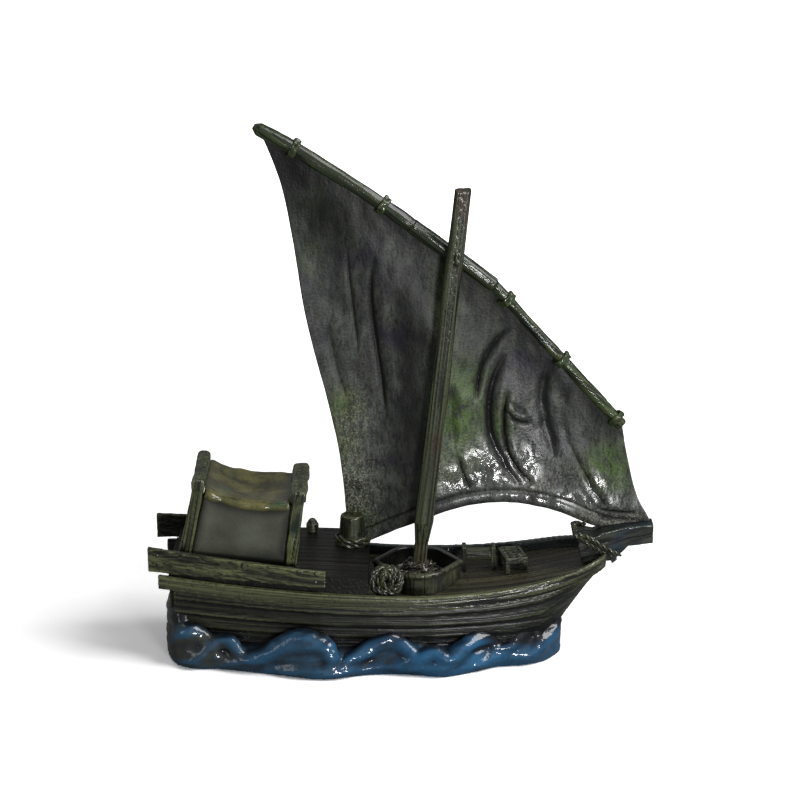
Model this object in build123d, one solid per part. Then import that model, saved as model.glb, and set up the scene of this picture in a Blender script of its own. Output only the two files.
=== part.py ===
"""Cast-resin figurine of a small single-masted sailing junk, riding on a base of painted waves.

X runs from stern to bow, Y from starboard (-Y) to port (+Y), Z up from the shelf. Millimetres.
Each carved piece of the figurine is one solid or a few: waves, planked hull, decks, rails, cabin,
mast, two-part lateen yard, sail and deck fittings. Nothing on it moves.
"""

import os
from math import atan2, cos, degrees, exp, hypot, pi, radians, sin

from build123d import *

# Wave base
BASE_FLOOR = 5.0  # resin left under the hull's flat bottom
WAVE_SHOULDER = 8.0  # how far in from the foot the wave's top lies
WAVE_BULGE = 1.4  # how far the wave's side bulges past its foot
# Columns: x, then foot half-width and crest height on starboard, then the same on port
WAVES = [
    (-113, 9, 19, 9, 20),
    (-111, 15, 28, 14, 28),
    (-107, 21, 32, 20, 31),
    (-102, 25, 29, 24, 28),
    (-96, 29, 19, 28, 20),
    (-86, 31, 15, 32, 15),
    (-74, 34, 13, 37, 17),
    (-62, 37, 13, 38, 14),
    (-51, 40, 19, 37, 12),
    (-42, 42, 20, 38, 14),
    (-31, 42, 13, 40, 18),
    (-18, 38, 12, 42, 19),
    (-4, 37, 17, 41, 14),
    (10, 39, 15, 37, 12),
    (20, 40, 12, 34, 15),
    (34, 34, 17, 36, 18),
    (44, 28, 15, 33, 14),
    (54, 27, 18, 27, 15),
    (64, 23, 22, 23, 20),
    (70, 17, 25, 17, 24),
    (75, 9, 22, 9, 21),
]
# Rolling crests on the waves' sides. Columns: x, side, height of the middle, length, radius, slope in degrees
CRESTS = [
    (-95, -1, 11.0, 30, 5.4, 38),
    (-72, -1, 8.5, 32, 4.6, -22),
    (-45, -1, 13.5, 30, 5.6, 30),
    (-22, -1, 8.5, 30, 4.8, -34),
    (2, -1, 12.0, 30, 5.0, 26),
    (24, -1, 9.0, 26, 4.6, -34),
    (41, -1, 11.5, 24, 4.4, 32),
    (60, -1, 12.5, 24, 4.2, -40),
    (70, -1, 14.0, 20, 4.0, 62),
    (-86, 1, 10.0, 28, 4.6, 26),
    (-56, 1, 9.5, 32, 5.2, -28),
    (-18, 1, 12.5, 34, 5.6, 30),
    (12, 1, 9.0, 26, 4.6, -28),
    (38, 1, 12.0, 28, 5.0, -34),
    (60, 1, 12.0, 20, 4.0, -38),
]

# Hull form. Columns: x, half-breadth at the rail, height of the rail's top, half-breadth at the bottom
LINES = [
    (-118, 23.5, 45.4, 15.0),
    (-107, 25.6, 44.3, 18.0),
    (-71, 31.0, 41.5, 25.0),
    (-34, 34.8, 39.6, 29.5),
    (8, 34.4, 37.8, 29.5),
    (40, 31.6, 39.6, 26.0),
    (62, 28.8, 42.8, 19.0),
    (75, 26.0, 45.6, 12.0),
    (84, 21.4, 47.8, 7.0),
    (91, 14.6, 49.4, 4.5),
    (96, 7.0, 50.4, 3.0),
]
TRANSOM_X = -107.0
BOW_END_X = 90.0
HULL_STATIONS = (TRANSOM_X, -85, -62, -38, -12, 14, 36, 52, 64, 72, 79, 85, BOW_END_X)
STEM_FOOT = (66.0, 8.0)  # where the raked stem leaves the flat bottom, in X and Z
STEM_HEAD = (103.6, 52.9)  # where it meets the bow head
HULL_SPAN = (-124.0, 97.0)  # the curves of the sheer and the plan run between these stations
SHEER_ARCS = 6
PLAN_ARCS = 9
STRAKES = 5
STRAKE_LAP = 0.9  # how far each plank stands out over the one below
RAIL_HEIGHT = 6.6
RAIL_THICK = 3.0
RAIL_PROUD = 1.2  # how far the rail stands out past the hull's side
RAIL_AFT_X = -114.0
RAIL_FORE_X = 95.0

# Decks
DECK_THICK = 1.4
DECK_SEAM = 0.5
DECK_PLANK = 5.2
AFT_DECK_RISE = 7.6  # aft deck's top over the rail's top
AFT_DECK_FORE_X = -16.5

# Upper bulwark plank on each side of the aft deck
BULWARK_THICK = 2.7
BULWARK_AFT_X = -118.6
BULWARK_FORE_X = {"starboard": -36.0, "port": -50.0}
BULWARK_TOP = (58.2, 50.0)  # height of its top at the aft and the fore end
BULWARK_FOOT = (46.4, 42.6)
BULWARK_SHEER_END = -36.0  # where the second of those heights is taken

TRANSOM_THICK = 2.4

# Cabin, leaning towards the bow
CABIN_GAP = 2.9  # between the aft posts' feet and the bulwarks
POST_WIDE = 5.6
POST_THICK = 5.0
AFT_POST_TOP = (-94.8, 85.4)  # centre line of the aft posts, in X and Z
AFT_POST_LEAN = 12.6  # degrees
FORE_POST_TOP = (-48.8, 79.2)
FORE_POST_LEAN = 7.0
WALL_THICK = 2.4
WALL_INSET = 1.3
ROOF_LOG_HIGH = 5.2
LOG_PROUD = 0.3  # how far each log runs out past the posts
AFT_LOG_WIDE = 6.2
FORE_LOG_WIDE = 8.0
ROOF_DROP = 1.6  # the roof's underside below the posts' tops
ROOF_THICK = 2.6
ROOF_SAG_EDGE = 2.6
ROOF_SAG_NEAR = 5.0
ROOF_SAG_MIDDLE = 6.0
ROOF_HEM_RADIUS = 1.9

# Mast and its tub
MAST_FOOT = (7.3, 42.0)  # centre line, in X and Z
MAST_HEAD = (26.8, 222.0)
# Columns: height, width
MAST_TAPER = [(42.0, 6.4), (52.0, 5.8), (63.0, 9.0), (110.0, 8.4), (222.0, 7.6)]
EYE_Z = 190.0
TUB_X = 6.6
TUB_HALF_LONG = 20.6
TUB_HALF_WIDE = 19.6
TUB_WALL = 2.0
TUB_RIM_Z = 43.4
TUB_FLOOR = 2.0
TUB_RIM_RADIUS = 1.2

# Yard, behind the mast
YARD_Y = 7.8
YARD_TIP = (-65.6, 248.2)
YARD_BEND = (-30.0, 226.8)
SLEEVE_AFT = (4.0, 203.2)
SLEEVE_FORE = (41.8, 175.3)
YARD_HEEL = (102.4, 107.6)
YARD_TIP_LONG = 3.0  # the upper spar's rounded end
YARD_UPPER_RADIUS = 3.3
YARD_LOWER_RADIUS = 2.8
SLEEVE_RADIUS = 3.7
LASHING_PROUD = 1.3
LASHING_LONG = 3.4

# Sail
SAIL_THICK = 2.6
HEM_THICK = 4.4
HEM_DEEP = 5.0
# Columns: height, aft edge x and y, belly aft of the mast, mast line x and y, belly fore of it,
# fore edge x and y
SAIL_SECTIONS = [
    (40.0, -34.0, 21.0, 1.0, 8.0, 9.0, 2.0, 120.0, 1.0),
    (66.0, -34.0, 20.0, 2.0, 10.0, 7.2, 2.5, 122.0, 2.0),
    (100.0, -38.0, 15.0, 3.5, 13.5, 7.0, 6.0, 115.0, 6.0),
    (145.0, -50.0, 12.0, 4.5, 18.0, 7.4, 5.0, 90.0, YARD_Y),
    (195.0, -60.0, 10.0, 3.0, -18.0, 9.6, 1.0, 40.0, YARD_Y),
    (252.0, -76.0, 8.4, 0.6, -60.0, 8.2, 0.6, -40.0, YARD_Y),
]
# The sail's main folds. Columns: depth, half-width, then the points that each one runs through in X and Z
SAIL_FOLDS = [
    (1.6, 1.9, [(-26.0, 191.0), (-25.0, 178.0), (-23.4, 165.0), (-22.0, 152.0), (-21.5, 138.0)]),
    (2.0, 2.4, [
        (-13.0, 189.0), (-15.0, 175.0), (-14.2, 160.0), (-13.4, 140.0), (-11.0, 120.0), (-7.5, 100.0),
    ]),
    (1.8, 1.7, [(50.5, 154.5), (43.5, 148.5), (37.0, 138.0), (34.6, 128.0), (34.0, 118.5)]),
    (2.8, 2.6, [
        (47.5, 141.5), (43.0, 132.0), (40.2, 120.0), (40.6, 104.0), (44.5, 94.0), (50.0, 84.0), (55.5, 77.5),
    ]),
    (2.4, 1.7, [(49.0, 124.0), (47.4, 112.0), (48.2, 98.0), (52.5, 87.5), (61.0, 77.5)]),
    (2.2, 2.8, [(68.5, 138.5), (65.5, 126.0), (66.0, 112.0), (69.5, 99.0), (71.0, 90.0)]),
]
# The sheet's points follow lines along those folds, run on to its top and its foot
SHEET_RUN_ON = [
    ([(-30.0, 256.0)], [(-21.5, 38.0)]),
    ([(-12.0, 256.0)], [(-4.0, 38.0)]),
    ([(58.0, 256.0)], [(30.0, 38.0)]),
    ([(66.0, 256.0), (57.0, 156.0)], [(59.0, 38.0)]),
    ([(78.0, 256.0), (65.0, 156.0)], [(66.0, 38.0)]),
    ([(90.0, 256.0), (77.0, 156.0)], [(76.0, 38.0)]),
]
SHEET_GUIDES = [[*top, *points, *low] for (top, low), (_, _, points) in zip(SHEET_RUN_ON, SAIL_FOLDS)]
SHEET_HEIGHTS = (
    38, 52, 63, 71, 78, 84, 90, 97, 104, 112, 120, 128, 135, 142, 150, 158, 168, 179, 190, 206, 230, 256,
)

# Bow head
HEAD_AFT_HALF = 8.6
HEAD_TIP_HALF = 4.4
HEAD_TIP_X = 117.4
ROPE_RADIUS = 1.15

# Deck fittings
BOLLARD_AT = (-24.4, 13.0)
BOLLARD_FOOT_RADIUS = 6.9
BOLLARD_HEAD_RADIUS = 5.7
BOLLARD_HIGH = 15.0
BOLLARD_RING_RADIUS = 1.2
BITT_AT = (-44.0, 25.4)
BITT_RADIUS = 2.5
BITT_HIGH = 7.4
BITT_TURNS = 3
BITT_ROPE = 1.4
COIL_AT = (-8.0, -25.6)
COIL_RADIUS = 8.0
COIL_ROPE = 2.2
COIL_LEAN = 62.0


def line_of(column):
    """The table's column as a smooth function of x, by cubic pieces through its stations."""
    xs = [row[0] for row in LINES]
    ys = [row[column] for row in LINES]
    slopes = []
    for i in range(len(xs)):
        a, b = max(i - 1, 0), min(i + 1, len(xs) - 1)
        slopes.append((ys[b] - ys[a]) / (xs[b] - xs[a]))

    def at(x):
        i = max(k for k in range(len(xs) - 1) if xs[k] <= x or k == 0)
        span = xs[i + 1] - xs[i]
        t = (x - xs[i]) / span
        return (
            (2 * t**3 - 3 * t**2 + 1) * ys[i]
            + (t**3 - 2 * t**2 + t) * span * slopes[i]
            + (3 * t**2 - 2 * t**3) * ys[i + 1]
            + (t**3 - t**2) * span * slopes[i + 1]
        )

    return at


half_beam = line_of(1)
rail_top = line_of(2)
bottom_half = line_of(3)


CABIN_FOOT_X = AFT_POST_TOP[0] - 8.6
CABIN_HALF = half_beam(CABIN_FOOT_X) + RAIL_PROUD - RAIL_THICK - CABIN_GAP


def rail_foot(x):
    return rail_top(x) - RAIL_HEIGHT


def deck_top(x):
    return rail_foot(x) + DECK_THICK


def aft_deck_top(x):
    return rail_top(x) + AFT_DECK_RISE


def along(aft_x, fore_x, pair):
    """A straight line of heights between two ends."""
    return lambda x: pair[0] + (pair[1] - pair[0]) * (x - aft_x) / (fore_x - aft_x)


def arcs(points):
    """Arcs through an odd number of points, three at a time, or a straight run where they are in line."""
    made = []
    for i in range(0, len(points) - 2, 2):
        a, b, c = (Vector(*point) for point in points[i : i + 3])
        bow = (b - a).cross(c - a).length / (c - a).length
        made.append(Line(a, c) if bow < 0.002 else ThreePointArc(a, b, c))
    return made


def stations(count):
    return [HULL_SPAN[0] + (HULL_SPAN[1] - HULL_SPAN[0]) * i / (2 * count) for i in range(2 * count + 1)]


def profile_band(low, high, half=60.0):
    """Everything between two curves of height over x, as a prism across the boat."""
    xs = stations(SHEER_ARCS)
    lower = arcs([(x, low(x)) for x in xs])
    upper = arcs([(x, high(x)) for x in xs])
    ends = [Line((x, low(x)), (x, high(x))) for x in HULL_SPAN]
    face = make_face([Plane.XZ * edge for edge in lower + upper + ends])
    return extrude(face, half, both=True)


def plan_fill(offset, start, end, top=90.0):
    """The plan inside an offset from the hull's side, between two stations, as a tall prism."""
    xs = stations(PLAN_ARCS)
    sides = []
    for side in (-1, 1):
        sides += arcs([(x, side * (half_beam(x) + offset)) for x in xs])
    ends = [Line((x, -(half_beam(x) + offset)), (x, half_beam(x) + offset)) for x in HULL_SPAN]
    return extrude(make_face(sides + ends), top, dir=(0, 0, 1)) & between(start, end)


def between(start, end):
    """Everything between two stations."""
    return Pos((start + end) / 2, 0, 50) * Box(end - start, 200, 200)


def plan_band(inner, outer, start, end):
    """A curved plank in plan between two offsets from the hull's side, on starboard."""
    band = plan_fill(outer, start, end) - plan_fill(inner, start - 1, end + 1)
    return band & Pos(0, -100, 50) * Box(400, 200, 200)


def port(shape):
    return mirror(shape, Plane.XZ)


def bar_xz(profile, low_y, high_y):
    """A side outline in X and Z, extruded from low_y to high_y across the boat."""
    face = make_face(Plane.XZ * Polyline(*profile, close=True))
    return Pos(0, low_y, 0) * extrude(face, high_y - low_y, dir=(0, 1, 0))


def rod(a, b, radius, y):
    """A round bar between two points of the plane at y."""
    start = Vector(a[0], y, a[1])
    end = Vector(b[0], y, b[1])
    return extrude(Plane(origin=start, z_dir=end - start) * Circle(radius), (end - start).length)


def stem_x(z):
    """X of the raked stem's front at height z."""
    return STEM_FOOT[0] + (z - STEM_FOOT[1]) * (STEM_HEAD[0] - STEM_FOOT[0]) / (STEM_HEAD[1] - STEM_FOOT[1])


def stem_z(x):
    return STEM_FOOT[1] + (x - STEM_FOOT[0]) * (STEM_HEAD[1] - STEM_FOOT[1]) / (STEM_HEAD[0] - STEM_FOOT[0])


def hull_section(x):
    """One cross-section of lapped planks from the flat bottom up past the deck."""
    low = max(BASE_FLOOR, stem_z(x) + 1.0)
    high = rail_foot(x) + 3.0
    side = []
    for i in range(STRAKES):
        for edge, proud in ((i, 0.0), (i + 1, -STRAKE_LAP)):
            t = edge / STRAKES
            y = bottom_half(x) + (half_beam(x) - bottom_half(x)) * sin(t * pi / 2) ** 0.8
            side.append((y + proud, low + (high - low) * t))
    points = side + [(-y, z) for y, z in reversed(side)]
    plane = Plane(origin=(x, 0, 0), x_dir=(0, 1, 0), z_dir=(1, 0, 0))
    return plane * make_face(Polyline(*points, close=True))


def make_hull():
    sections = [hull_section(x) for x in HULL_STATIONS]
    return loft(sections, ruled=True) - profile_band(rail_foot, lambda x: rail_foot(x) + 20)


def wave_section(x, star_half, star_high, port_half, port_high):
    """One cross-section of the waves: a flat foot, a bulging side, and a top that slopes across."""
    star_in = min(WAVE_SHOULDER, 0.45 * star_half)
    port_in = min(WAVE_SHOULDER, 0.45 * port_half)
    star_foot, port_foot = (-star_half, 0), (port_half, 0)
    star_top, port_top = (-star_half + star_in, star_high), (port_half - port_in, port_high)
    wire = [
        Line(star_foot, port_foot),
        ThreePointArc(port_foot, (port_half + WAVE_BULGE - 0.3 * port_in, 0.6 * port_high), port_top),
        Line(port_top, star_top),
        ThreePointArc(star_top, (-(star_half + WAVE_BULGE) + 0.3 * star_in, 0.6 * star_high), star_foot),
    ]
    return Plane(origin=(x, 0, 0), x_dir=(0, 1, 0), z_dir=(1, 0, 0)) * make_face(wire)


def foot_half(x, side):
    """Half-width of the waves' foot at x on one side."""
    column = 1 if side < 0 else 3
    for near, far in zip(WAVES, WAVES[1:]):
        if near[0] <= x <= far[0]:
            return near[column] + (far[column] - near[column]) * (x - near[0]) / (far[0] - near[0])
    return WAVES[-1][column]


def make_crest(x, side, high, length, radius, slope):
    """A rolling crest: a spindle that lies along the waves' side."""
    half = length / 2
    profile = Polyline(
        (-half, 0), (-half * 0.75, radius * 0.55), (-half * 0.3, radius * 0.95), (half * 0.2, radius),
        (half * 0.62, radius * 0.7), (half, 0), close=True,
    )
    spindle = revolve(make_face(profile), Axis.X)
    run = 6.0
    turn = degrees(atan2(foot_half(x + run, side) - foot_half(x - run, side), 2 * run))
    y = side * (foot_half(x, side) - radius * 0.72)
    return Pos(x, y, high) * Rot(0, 0, side * turn) * Rot(0, slope, 0) * spindle


def make_waves(pieces):
    """The wave base with its rolling crests, hollowed for the hull that it carries."""
    waves = loft([wave_section(*row) for row in WAVES], ruled=True)
    for row in CRESTS:
        waves += make_crest(*row)
    waves &= Pos(0, 0, 50) * Box(400, 400, 100)
    for piece in pieces:
        waves -= piece
    return waves


def make_stem():
    """The raked stem bar in front of the planking."""
    foot_z = STEM_FOOT[1] + 1.0
    head_z = rail_foot(BOW_END_X) + 2.0
    outline = [
        (stem_x(foot_z) - 6.0, foot_z),
        (stem_x(foot_z), foot_z),
        (stem_x(head_z), head_z),
        (stem_x(head_z) - 6.0, head_z),
    ]
    return bar_xz(outline, -2.4, 2.4)


def bow_block(grow):
    """The carved stem head, narrowing to a square beam end, with every side moved out by grow."""
    outline = [
        (83.6, 44.6),
        (80.8, 58.6),
        (89.6, 57.2),
        (93.0, 59.0),
        (104.0, 61.4),
        (HEAD_TIP_X, 62.6),
        (HEAD_TIP_X, 53.2),
        (105.6, 51.8),
        (99.0, 45.0),
    ]
    plan = [(78, HEAD_AFT_HALF), (106, HEAD_TIP_HALF + 1.0), (125, HEAD_TIP_HALF)]
    plan += [(x, -y) for x, y in reversed(plan)]
    side_face = make_face(Polyline(*outline, close=True))
    plan_face = make_face(Polyline(*plan, close=True))
    if grow:
        side_face = offset(side_face, grow)
        plan_face = offset(plan_face, grow)
    side_bar = Pos(0, -20, 0) * extrude(Plane.XZ * side_face, 40, dir=(0, 1, 0))
    return side_bar & extrude(plan_face, 80, dir=(0, 0, 1))


def make_bow_head(rails):
    block = bow_block(0)
    for rail in rails:
        block -= rail
    return block


def make_rail():
    band = plan_band(RAIL_PROUD - RAIL_THICK, RAIL_PROUD, RAIL_AFT_X, RAIL_FORE_X)
    return band & profile_band(rail_foot, rail_top)


def make_main_deck():
    fill = plan_fill(RAIL_PROUD - RAIL_THICK, AFT_DECK_FORE_X, BOW_END_X - 1.0)
    slab = fill & profile_band(rail_foot, deck_top)
    groove = profile_band(lambda x: deck_top(x) - DECK_SEAM, lambda x: deck_top(x) + 1)
    for i in range(-5, 6):
        slab -= groove & Pos(0, (i + 0.5) * DECK_PLANK, 30) * Box(300, DECK_SEAM, 60)
    return slab


def make_aft_deck():
    fill = plan_fill(RAIL_PROUD - RAIL_THICK, TRANSOM_X, AFT_DECK_FORE_X)
    block = fill & profile_band(rail_foot, aft_deck_top)
    groove = profile_band(lambda x: aft_deck_top(x) - DECK_SEAM, lambda x: aft_deck_top(x) + 1)
    for i in range(-5, 6):
        block -= groove & Pos(0, (i + 0.5) * DECK_PLANK, 30) * Box(300, DECK_SEAM, 60)
    return block


def make_bulwark(fore_x):
    """The upper plank beside the aft deck, on starboard."""
    inner = RAIL_PROUD - RAIL_THICK
    band = plan_band(inner, inner + BULWARK_THICK, BULWARK_AFT_X, fore_x)
    foot = along(BULWARK_AFT_X, BULWARK_SHEER_END, BULWARK_FOOT)
    top = along(BULWARK_AFT_X, BULWARK_SHEER_END, BULWARK_TOP)
    return band & profile_band(foot, top)


def make_transom():
    """The stern board that closes the planking between the two rails."""
    inner = RAIL_PROUD - RAIL_THICK
    y = half_beam(TRANSOM_X - TRANSOM_THICK) + inner - 0.4
    foot = bottom_half(TRANSOM_X) - 2.0
    top = rail_top(TRANSOM_X) + 2
    face = make_face(Polyline((-foot, 20), (foot, 20), (y, top), (-y, top), close=True))
    plane = Plane(origin=(TRANSOM_X - TRANSOM_THICK, 0, 0), x_dir=(0, 1, 0), z_dir=(1, 0, 0))
    return extrude(plane * face, TRANSOM_THICK, dir=(1, 0, 0))


def post_x(top, lean, z):
    return top[0] - (top[1] - z) * sin(radians(lean)) / cos(radians(lean))


def make_post(top, lean, side, decks):
    """One leaning cabin post, its foot cut to the aft deck."""
    foot_z = 40.0
    half = POST_WIDE / 2
    outline = [
        (post_x(top, lean, foot_z) - half, foot_z),
        (post_x(top, lean, foot_z) + half, foot_z),
        (top[0] + half, top[1]),
        (top[0] - half, top[1]),
    ]
    outer = side * CABIN_HALF
    inner = side * (CABIN_HALF - POST_THICK)
    return bar_xz(outline, min(inner, outer), max(inner, outer)) - decks


def make_side_wall(side, decks, roof):
    """A plank wall between an aft and a fore post, its top scribed to the sagging roof."""
    aft_z, fore_z = (top[1] - ROOF_DROP for top in (AFT_POST_TOP, FORE_POST_TOP))
    outline = [
        (post_x(AFT_POST_TOP, AFT_POST_LEAN, 40) + POST_WIDE / 2, 40),
        (post_x(FORE_POST_TOP, FORE_POST_LEAN, 40) - POST_WIDE / 2, 40),
        (post_x(FORE_POST_TOP, FORE_POST_LEAN, fore_z) - POST_WIDE / 2, fore_z),
        (post_x(AFT_POST_TOP, AFT_POST_LEAN, aft_z) + POST_WIDE / 2, aft_z),
    ]
    outer = side * (CABIN_HALF - WALL_INSET)
    inner = side * (CABIN_HALF - WALL_INSET - WALL_THICK)
    wall = bar_xz(outline, min(inner, outer), max(inner, outer)) - decks - roof
    return wall.solids().sort_by(Axis.Z)[0]


def make_end_wall(top, lean, facing, decks):
    """The aft or fore wall, between the two posts of that end."""
    outer = facing * (POST_WIDE / 2 - WALL_INSET)
    inner = outer - facing * WALL_THICK
    outline = [
        (post_x(top, lean, 40) + outer, 40),
        (top[0] + outer, top[1]),
        (top[0] + inner, top[1]),
        (post_x(top, lean, 40) + inner, 40),
    ]
    half = CABIN_HALF - POST_THICK
    return bar_xz(outline, -half, half) - decks


def make_roof_log(top, wide):
    """A rounded log across the cabin on top of two posts."""
    long = 2 * (CABIN_HALF + LOG_PROUD)
    shape = Pos(top[0], 0, top[1] + ROOF_LOG_HIGH / 2) * Box(wide, long, ROOF_LOG_HIGH)
    return fillet(shape.edges().filter_by(Axis.Y).sort_by(Axis.Z)[-2:], 2.2)


def roof_ends():
    aft = (AFT_POST_TOP[0] + AFT_LOG_WIDE / 2, AFT_POST_TOP[1] - ROOF_DROP)
    fore = (FORE_POST_TOP[0] - FORE_LOG_WIDE / 2, FORE_POST_TOP[1] - ROOF_DROP)
    return aft, fore


def roof_section(y, sag):
    aft, fore = roof_ends()
    mid = ((aft[0] + fore[0]) / 2, (aft[1] + fore[1]) / 2 - sag)
    up = ROOF_THICK
    wire = [
        ThreePointArc(aft, mid, fore),
        Line(fore, (fore[0], fore[1] + up)),
        ThreePointArc((fore[0], fore[1] + up), (mid[0], mid[1] + up), (aft[0], aft[1] + up)),
        Line((aft[0], aft[1] + up), aft),
    ]
    plane = Plane(origin=(0, y, 0), x_dir=(1, 0, 0), z_dir=(0, -1, 0))
    return plane * make_face(wire)


def make_roof():
    """The cloth roof, carved as it sags between the two logs and in its middle."""
    half = CABIN_HALF - 0.6
    near, edge = ROOF_SAG_NEAR, ROOF_SAG_EDGE
    sags = ((-1, edge), (-0.5, near), (0, ROOF_SAG_MIDDLE), (0.5, near), (1, edge))
    return loft([roof_section(share * half, sag) for share, sag in sags], ruled=True)


def make_roof_hem(side, roof):
    """The rolled edge of the roof on one side."""
    aft, fore = roof_ends()
    y = side * (CABIN_HALF - 0.6 + ROOF_HEM_RADIUS * 0.6)
    lift = ROOF_THICK / 2 - 1.2
    mid = Vector((aft[0] + fore[0]) / 2, y, (aft[1] + fore[1]) / 2 - ROOF_SAG_EDGE + lift)
    path = ThreePointArc(Vector(aft[0], y, aft[1] + lift), mid, Vector(fore[0], y, fore[1] + lift))
    start = Plane(origin=path @ 0, z_dir=path % 0)
    return sweep(start * RegularPolygon(ROOF_HEM_RADIUS, 10), path) - roof


def mast_x(z):
    return MAST_FOOT[0] + (z - MAST_FOOT[1]) * (MAST_HEAD[0] - MAST_FOOT[0]) / (MAST_HEAD[1] - MAST_FOOT[1])


def make_mast():
    sections = []
    for z, wide in MAST_TAPER:
        sections.append(Pos(mast_x(z), 0, z) * RectangleRounded(wide, wide, wide * 0.28))
    return loft(sections, ruled=True)


def tub_outline(grow):
    """The tub's plan: arcs along its sides, straight runs to a point at each end."""
    a, b = TUB_HALF_LONG + grow, TUB_HALF_WIDE + grow
    wire = []
    for side in (-1, 1):
        wire += [
            Line((-a, 0), (-a * 0.55, side * b * 0.74)),
            ThreePointArc((-a * 0.55, side * b * 0.74), (0, side * b), (a * 0.55, side * b * 0.74)),
            Line((a * 0.55, side * b * 0.74), (a, 0)),
        ]
    return Pos(TUB_X, 0, 0) * make_face(wire)


def make_tub():
    """The open tub round the mast's foot: a wall, a floor and a rounded rim."""
    outer = extrude(tub_outline(0), TUB_RIM_Z, dir=(0, 0, 1)) & profile_band(deck_top, lambda x: 60)
    inside = extrude(tub_outline(-TUB_WALL), TUB_RIM_Z + 5, dir=(0, 0, 1)) & profile_band(
        lambda x: deck_top(x) + TUB_FLOOR, lambda x: 70)
    rim_steps = ((-2.0, 0.0), (-1.5, 1.0), (-0.5, 1.0), (0.0, 0.2))
    rim = loft(
        [
            Pos(0, 0, TUB_RIM_Z + drop * TUB_RIM_RADIUS) * tub_outline(out * TUB_RIM_RADIUS)
            for drop, out in rim_steps
        ],
        ruled=True,
    )
    return outer + rim - inside


def make_mast_step():
    floor = deck_top(TUB_X) + TUB_FLOOR
    rise = MAST_FOOT[1] - floor
    return Pos(MAST_FOOT[0], 0, floor + rise / 2) * Cone(10.0, 5.2, rise)


def make_net_heap(step):
    """A heap of net against the mast step, on the starboard side of the tub."""
    floor = deck_top(TUB_X) + TUB_FLOOR
    heap = None
    for dx, dy, radius in ((-6, -8.4, 4.6), (0.5, -10.2, 4.9), (6.5, -8.0, 4.2)):
        profile = [(radius, -1), (radius * 0.8, radius * 0.6), (radius * 0.3, radius)]
        lump = Pos(TUB_X + dx, dy, floor) * turned(profile)
        heap = lump if heap is None else heap + lump
    return heap - step


def yard_arc():
    points = [Vector(p[0], YARD_Y, p[1]) for p in (YARD_TIP, YARD_BEND, SLEEVE_AFT)]
    return ThreePointArc(*points)


def make_yard_upper():
    """The bowed upper spar, its free end tapered off like a finger."""
    path = yard_arc()
    start = Plane(origin=path @ 0, z_dir=path % 0)
    pole = sweep(start * Circle(YARD_UPPER_RADIUS), path)
    seat = (Align.CENTER, Align.CENTER, Align.MIN)
    tip = Cone(YARD_UPPER_RADIUS, YARD_UPPER_RADIUS * 0.45, YARD_TIP_LONG, align=seat)
    return pole + start * Rot(180, 0, 0) * tip


def make_lashings():
    """Rope bands round the two spars, each seated on its spar."""
    bands = []
    path = yard_arc()
    for t in (0.22, 0.80):
        start = Plane(origin=path @ t, z_dir=path % t)
        bands.append((start, YARD_UPPER_RADIUS))
    direction = Vector(YARD_HEEL[0] - SLEEVE_FORE[0], 0, YARD_HEEL[1] - SLEEVE_FORE[1])
    for t in (0.10, 0.53, 0.95):
        start = Vector(SLEEVE_FORE[0], YARD_Y, SLEEVE_FORE[1]) + direction * t
        bands.append((Plane(origin=start, z_dir=direction), YARD_LOWER_RADIUS))
    made = []
    for plane, radius in bands:
        ring = Cylinder(radius + LASHING_PROUD, LASHING_LONG) - Cylinder(radius + 0.04, LASHING_LONG * 2)
        band = plane * ring
        made.append(band)
    return made


def smooth_rows(rows, steps=12):
    """Rows of numbers filled in along a smooth curve through them."""
    padded = [rows[0], *rows, rows[-1]]
    filled = []
    for four in zip(padded, padded[1:], padded[2:], padded[3:]):
        for t in [k / steps for k in range(steps)]:
            filled.append([
                0.5 * (
                    2 * q + (r - p) * t
                    + (2 * p - 5 * q + 4 * r - s) * t**2 + (3 * q - p - 3 * r + s) * t**3
                )
                for p, q, r, s in zip(*four)
            ])
    return filled + [list(rows[-1])]


def read_at(rows, value):
    """The other columns of rows where their first column reaches a value."""
    for near, far in zip(rows, rows[1:]):
        if value <= far[0]:
            break
    t = min(max((value - near[0]) / (far[0] - near[0]), 0), 1)
    return [a + t * (b - a) for a, b in zip(near[1:], far[1:])]


def fold_reach(x, z, run):
    """Distance of a point from a fold, how far along it from 0 to 1, and on which side of it."""
    best = (1e9, 0, 0)
    for i, (a, b) in enumerate(zip(run, run[1:])):
        dx, dz = b[0] - a[0], b[1] - a[1]
        t = min(max(((x - a[0]) * dx + (z - a[1]) * dz) / (dx * dx + dz * dz), 0), 1)
        off_x, off_z = x - a[0] - t * dx, z - a[1] - t * dz
        side = 1 if dx * off_z - dz * off_x > 0 else -1
        best = min(best, (hypot(off_x, off_z), (i + t) / (len(run) - 1), side))
    return best


def sail_y(x, z, lie, folds):
    """Where the sail's middle lies across the boat: its belly, then its creases and their ridges."""
    ax, ay, aft_belly, mx, my, fore_belly, fx, fy = read_at(lie, z)
    if x < mx:
        t = max((x - ax) / (mx - ax), 0)
        y = ay + (my - ay) * t + aft_belly * 4 * t * (1 - t)
    else:
        t = min((x - mx) / (fx - mx), 1)
        y = my + (fy - my) * t + fore_belly * 4 * t * (1 - t)
    for depth, wide, run in folds:
        far, along, side = fold_reach(x, z, run)
        taper = min(5 * min(along, 1 - along), 1) ** 0.6
        reach = wide * (0.45 + 0.55 * taper)
        y += depth * taper * exp(-((far / reach) ** 2))
        y -= 0.75 * depth * taper * (0.4 + 0.35 * side) * exp(-(((far - 2 * reach) / (1.5 * reach)) ** 2))
    return y


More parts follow.
